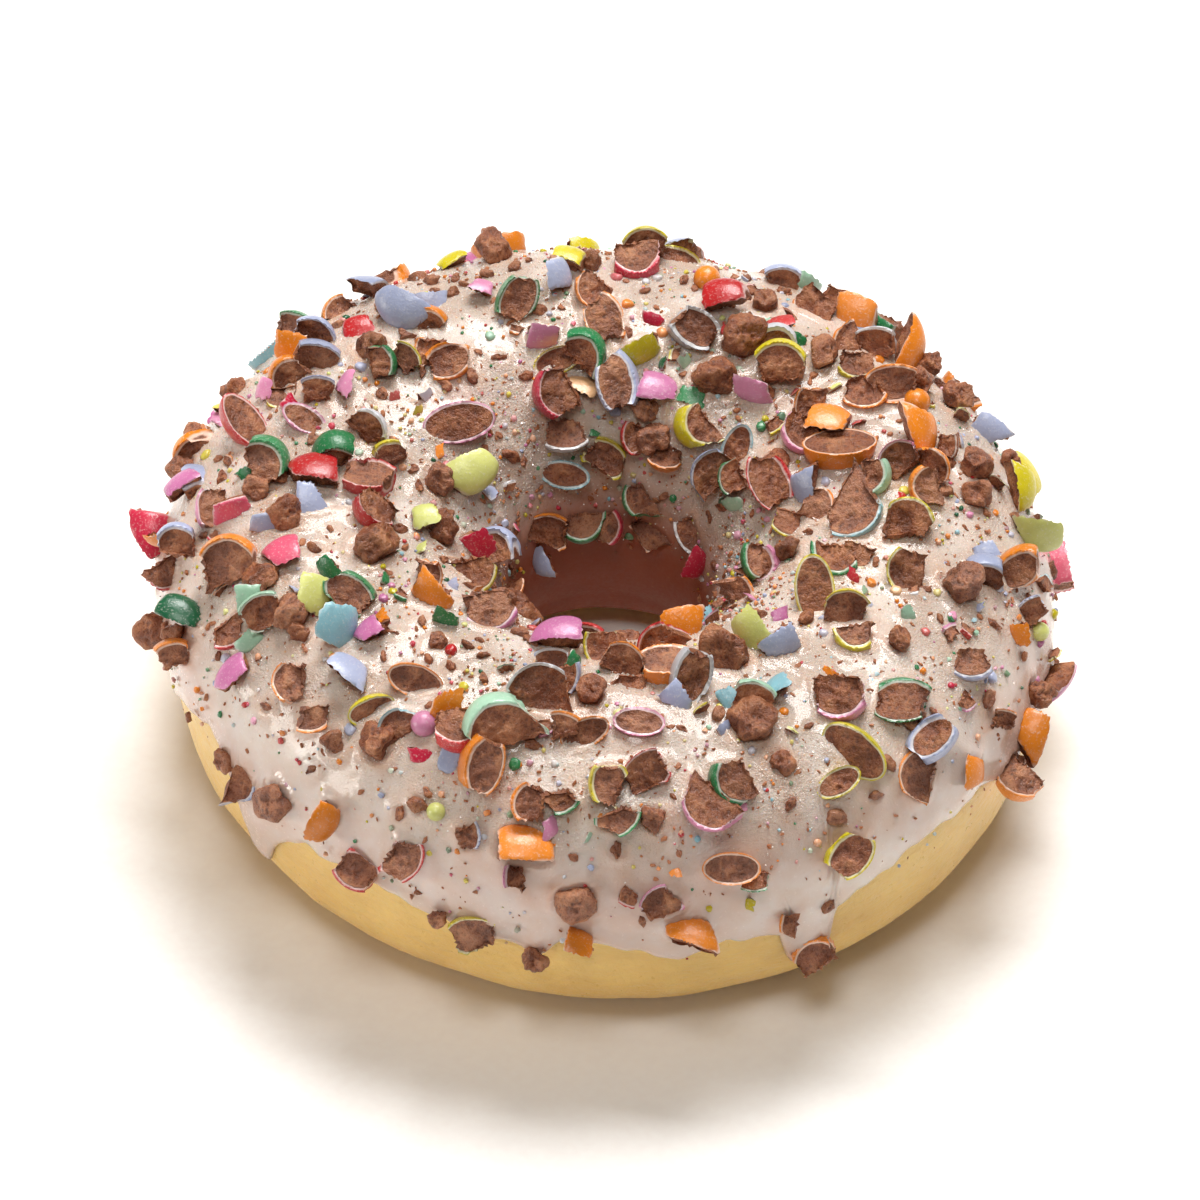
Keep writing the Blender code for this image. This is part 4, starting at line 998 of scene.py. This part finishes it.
def near_pieces(points, pieces):
    """How high the glaze climbs at each point, and how much chocolate has stained it there."""
    climb, stain = np.zeros(len(points)), np.zeros(len(points))
    for kind, shade, size, breaks, lentil, turn_to, middle in pieces:
        close = np.flatnonzero(np.abs(points - middle).max(1) < 0.75 * size + 1.6 * MM)
        local = (points[close] - middle) @ turn_to
        away = -under_shell(local, lentil)
        for normal, distance in breaks:
            away = np.maximum(away, local @ normal - distance)
        inside, away = np.maximum(-away, 0.0), np.maximum(away, 0.0)
        high = CLIMB * min(1.0, size / (4.0 * MM))
        climb[close] = np.maximum(climb[close], high * np.exp(-away / (0.30 * MM + 0.35 * high) - inside / (0.3 * MM)))
        darker = 1.0 if shade in ("brown", "red", "crimson") or kind == "rind" else 0.6
        stain[close] = np.maximum(stain[close], darker * min(1.0, size / (3.0 * MM)) * np.exp(-away / (0.9 * MM)))
    return climb, stain


def glaze_mesh():
    azimuth, around, from_lip = glaze_places()
    under = dough_inset(around)
    thick = np.maximum(under, np.where(around > math.pi / 2, THIN_IN_HOLE, THIN_GLAZE))
    thick *= 0.62 + 0.38 * smooth_step(from_lip, 0.5 * MM, 6.0 * MM)
    rounding = np.sqrt(1.0 - (1.0 - np.minimum(from_lip / LIP, 1.0)) ** 2)
    points = ring_point(azimuth, around, under - INTO_DOUGH - thick * rounding).reshape(-1, 3)
    normals = ring_normal(azimuth, around).reshape(-1, 3)
    rows, columns = azimuth.shape
    from_lip, rounding = from_lip.ravel(), rounding.ravel()
    # It set in soft runs down the sides, a little thicker just above the lip.
    relief = 0.14 * lumps(points * (1.0, 1.0, 0.6), 7.0 * MM, 21) + 0.07 * lumps(points, 2.6 * MM, 22)
    relief += 0.16 * np.exp(-(((from_lip / MM - 2.6) / 1.7) ** 2))
    climb, stain = near_pieces(points, [piece for piece in crushed if piece[2] > DUST_BELOW])
    degrees = np.degrees(around).ravel()
    crown = smooth_step(degrees, 18.0, 62.0) * smooth_step(-degrees, -178.0, -140.0)
    crown *= 0.45 + 0.55 * smooth_step(lumps(points, 4.5 * MM, 23), -0.5, 0.3)
    relief += crown * 0.07 * lumps(points, 0.9 * MM, 24)
    # Low on the sides and in the hole it ran thin, and the crust shows through it. The finish also uses this mark to
    # paint shade there, deepest in the hole.
    thin_and_shade = smooth_step(degrees, 146.0, 182.0)
    thin_and_shade += 0.26 * smooth_step(-degrees, -50.0, -12.0) * (1.0 + lumps(points, 9.0 * MM, 25))
    points += normals * ((relief * MM + climb) * rounding)[:, None]
    points[:, 2] = np.maximum(points[:, 2], 0.1 * MM)
    outer_edge, inner_edge = around[0], around[-1]
    under_rows = []
    for share in UNDER_ROWS:
        back = outer_edge + (inner_edge - outer_edge) * share
        under_rows.append(ring_point(azimuth[0], back, dough_inset(back) - INTO_DOUGH))
    points = np.concatenate([points, *under_rows])
    unseen = np.zeros(len(under_rows) * columns)
    marks = (("stain", stain), ("crown", crown), ("thin_and_shade", thin_and_shade))
    marks = [(mark, np.append(values, unseen)) for mark, values in marks]
    return mesh_piece("white_glaze", points, grid_faces(rows + len(under_rows), columns), marks)


def glaze_finish():
    """Set sugar glaze: cream white, milky, softly glossy, sparkling and crumb-stained where the topping lies."""
    material, tree, shader = new_finish("White glaze")
    grain = placed_group(tree, FOOD_GRAIN, Clouds_per_metre=260.0, Grain_per_metre=2600.0, Pits_per_metre=1500.0)
    clouds, fine = grain.outputs["Clouds"], grain.outputs["Grain"]
    crown, stain, thin_and_shade = (mark_of(tree, name) for name in ("crown", "stain", "thin_and_shade"))
    base = mix(tree, span(tree, clouds, 0.35, 0.68), colour(229, 220, 212), colour(221, 202, 187))
    base = mix(tree, span(tree, crown, 0.0, 1.0, 0.0, 0.65), base, colour(200, 181, 166))
    stained = times(tree, stain, span(tree, clouds, 0.3, 0.6, 0.16, 0.5))
    base = mix(tree, stained, base, colour(204, 150, 118))
    # Partly crust seen through thin glaze and partly painted shade: a deep reddish brown low on the sides, and almost
    # all of the colour in the hole.
    base = mix(tree, span(tree, thin_and_shade, 0.0, 1.0, 0.0, 0.97), base, colour(150, 64, 26))
    # Specks of dust too fine to be pieces, some of chocolate and some of shell.
    place = node(tree, "TexCoord").outputs["Object"]
    dust = node(tree, "TexVoronoi", {"Vector": place, "Scale": 1700.0})
    chosen = node(tree, "SeparateColor", {0: dust.outputs["Color"]}).outputs
    dots = times(tree, span(tree, dust.outputs["Distance"], 0.20, 0.27, 1.0, 0.0), span(tree, chosen[0], 0.70, 0.72))
    dots = times(tree, dots, span(tree, crown, 0.0, 1.0, 0.08, 0.45))
    speck = mix(tree, span(tree, chosen[1], 0.55, 0.60), colour(172, 112, 76), colour(226, 160, 90))
    gloss = span(tree, fine, 0.35, 0.70, 0.12, 0.30)
    finest = node(tree, "TexNoise", {"Vector": place, "Scale": 4200.0, "Detail": 2.0, "Roughness": 0.6}).outputs[0]
    sugar = times(tree, plus(tree, fine, finest), span(tree, crown, 0.0, 1.0, 0.015, 2.2))
    relief = plus(tree, sugar, times(tree, clouds, 0.25))
    look = {
        "Base Color": mix(tree, dots, base, speck),
        "Roughness": plus(tree, gloss, span(tree, thin_and_shade, 0.3, 1.0, 0.0, 0.35)),
        "Normal": bumps(tree, relief, 0.7, 0.00022),
        "Subsurface Weight": 0.55,
        "Subsurface Radius": (1.0, 0.62, 0.42),
        "Subsurface Scale": 0.0016,
        "Specular IOR Level": 0.5,
        "Coat Weight": span(tree, thin_and_shade, 0.2, 0.9, 0.5, 0.0),
        "Coat Roughness": 0.1,
    }
    set_inputs(tree, shader, look)
    return material


glaze = glaze_mesh()
glaze.data.materials.append(glaze_finish())
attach(glaze, "root")
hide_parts("icing")


# The sparkle on the crown: grains of sugar that lie in the glaze unmelted, each an eight-sided crystal.
SUGAR_GRAINS = 12000
GRAIN_SMALLEST, GRAIN_LARGEST = 0.10 * MM, 0.30 * MM
CORNERS = np.array([(1, 0, 0), (-1, 0, 0), (0, 1, 0), (0, -1, 0), (0, 0, 1), (0, 0, -1)], float)
SIDES = np.array([(0, 2, 4), (2, 1, 4), (1, 3, 4), (3, 0, 4), (2, 0, 5), (1, 2, 5), (3, 1, 5), (0, 3, 5)])


def sugar_mesh():
    draw = np.random.default_rng(8)
    surface = np.empty((len(glaze.data.vertices), 3), np.float32)
    crown = np.empty(len(surface), np.float32)
    glaze.data.vertices.foreach_get("co", surface.ravel())
    glaze.data.attributes["crown"].data.foreach_get("value", crown)
    chance = crown * (0.15 + 0.85 * smooth_step(lumps(surface, 3.0 * MM, 41), -0.35, 0.35))
    spots = draw.choice(len(surface), SUGAR_GRAINS, p=chance / chance.sum())
    beside, above = (surface[(spots + step) % len(surface)] - surface[spots] for step in (1, GLAZE_COLUMNS))
    middles = surface[spots] + draw.random((SUGAR_GRAINS, 1)) * beside + draw.random((SUGAR_GRAINS, 1)) * above
    width = GRAIN_SMALLEST + (GRAIN_LARGEST - GRAIN_SMALLEST) * draw.random((SUGAR_GRAINS, 1)) ** 2
    # Each is turned its own way: two directions drawn at random, made square to one another.
    first, second = draw.normal(size=(2, SUGAR_GRAINS, 3))
    first /= np.linalg.norm(first, axis=1)[:, None]
    second = np.cross(first, second)
    second /= np.linalg.norm(second, axis=1)[:, None]
    turn = np.stack([first, second, np.cross(first, second)], 1)
    points = middles[:, None] + width[:, None] / 2 * (CORNERS @ turn)
    faces = SIDES[None] + 6 * np.arange(SUGAR_GRAINS)[:, None, None]
    sugar = mesh_piece("sugar_grains", points.reshape(-1, 3), faces.reshape(-1, 3))
    sugar.data.set_sharp_from_angle(angle=math.radians(20))
    return sugar


def sugar_finish():
    """Clear sugar, white where it is small and broken, with faces that glint."""
    material, tree, shader = new_finish("Sugar grains")
    grain = placed_group(tree, FOOD_GRAIN, Clouds_per_metre=900.0, Grain_per_metre=6000.0, Pits_per_metre=3000.0)
    white = span(tree, grain.outputs["Clouds"], 0.4, 0.6)
    look = {
        "Base Color": mix(tree, white, colour(244, 238, 232), colour(226, 212, 200)),
        "Roughness": span(tree, grain.outputs["Grain"], 0.3, 0.7, 0.04, 0.16),
        "Specular IOR Level": 1.0,
    }
    set_inputs(tree, shader, look)
    return material


sugar = sugar_mesh()
sugar.data.materials.append(sugar_finish())
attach(sugar, "root")
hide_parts("icing")


# The table and light: a seamless white sweep, a wide soft light high behind, a small one in front and one low on the
# left, in a warm dim room.
TABLE_BELOW = 0.00005  # how far the table lies under the ring's foot


def table_finish():
    material, tree, shader = new_finish("White table")
    place = node(tree, "TexCoord").outputs["Object"]
    tooth = node(tree, "TexNoise", {"Vector": place, "Scale": 900.0, "Detail": 2.0}).outputs[0]
    base = mix(tree, span(tree, tooth, 0.3, 0.7), colour(255, 254, 252), colour(252, 250, 248))
    set_inputs(tree, shader, {"Base Color": base, "Roughness": 0.8, "Specular IOR Level": 0.1})
    return material


def table_mesh():
    mesh = bpy.data.meshes.new("table")
    made = bmesh.new()
    bmesh.ops.create_grid(made, x_segments=8, y_segments=8, size=3.0)
    made.to_mesh(mesh)
    made.free()
    table = bpy.data.objects.new("table", mesh)
    bpy.context.scene.collection.objects.link(table)
    return table


table = table_mesh()
table.location.z = -TABLE_BELOW
table.data.materials.append(table_finish())


def soft_light(name, azimuth, elevation, away, size, power, tint):
    """A square lamp on the ball round the ring, facing it. Azimuth 0 is in front, 90 to the right and 180 behind."""
    data = bpy.data.lights.new(name, "AREA")
    data.shape = "RECTANGLE"
    data.size, data.size_y = size
    data.energy = power
    data.color = tint
    lamp = bpy.data.objects.new(name, data)
    a, e = math.radians(azimuth), math.radians(elevation)
    back = Vector((math.sin(a) * math.cos(e), -math.cos(a) * math.cos(e), math.sin(e)))
    lamp.location = Vector((0.0, 0.0, 0.02)) + back * away
    lamp.rotation_mode = "QUATERNION"
    lamp.rotation_quaternion = back.to_track_quat("Z", "Y")
    bpy.context.scene.collection.objects.link(lamp)


soft_light("High behind", 168, 63, 1.0, (0.58, 0.42), 12.9, (1.0, 0.99, 0.98))
soft_light("Front top", -10, 69, 1.1, (0.30, 0.30), 3.5, (1.0, 0.975, 0.94))
soft_light("Front left", -76, 7, 1.2, (0.5, 0.2), 3.9, (1.0, 0.965, 0.91))

world = bpy.data.worlds.new("Studio")
world.use_nodes = True
room = world.node_tree.nodes["Background"]
set_inputs(world.node_tree, room, {"Color": (1.0, 0.90, 0.79, 1.0), "Strength": 0.16})
bpy.context.scene.world = world
bpy.context.scene.view_settings.view_transform = "Standard"
bpy.context.scene.view_settings.look = "None"
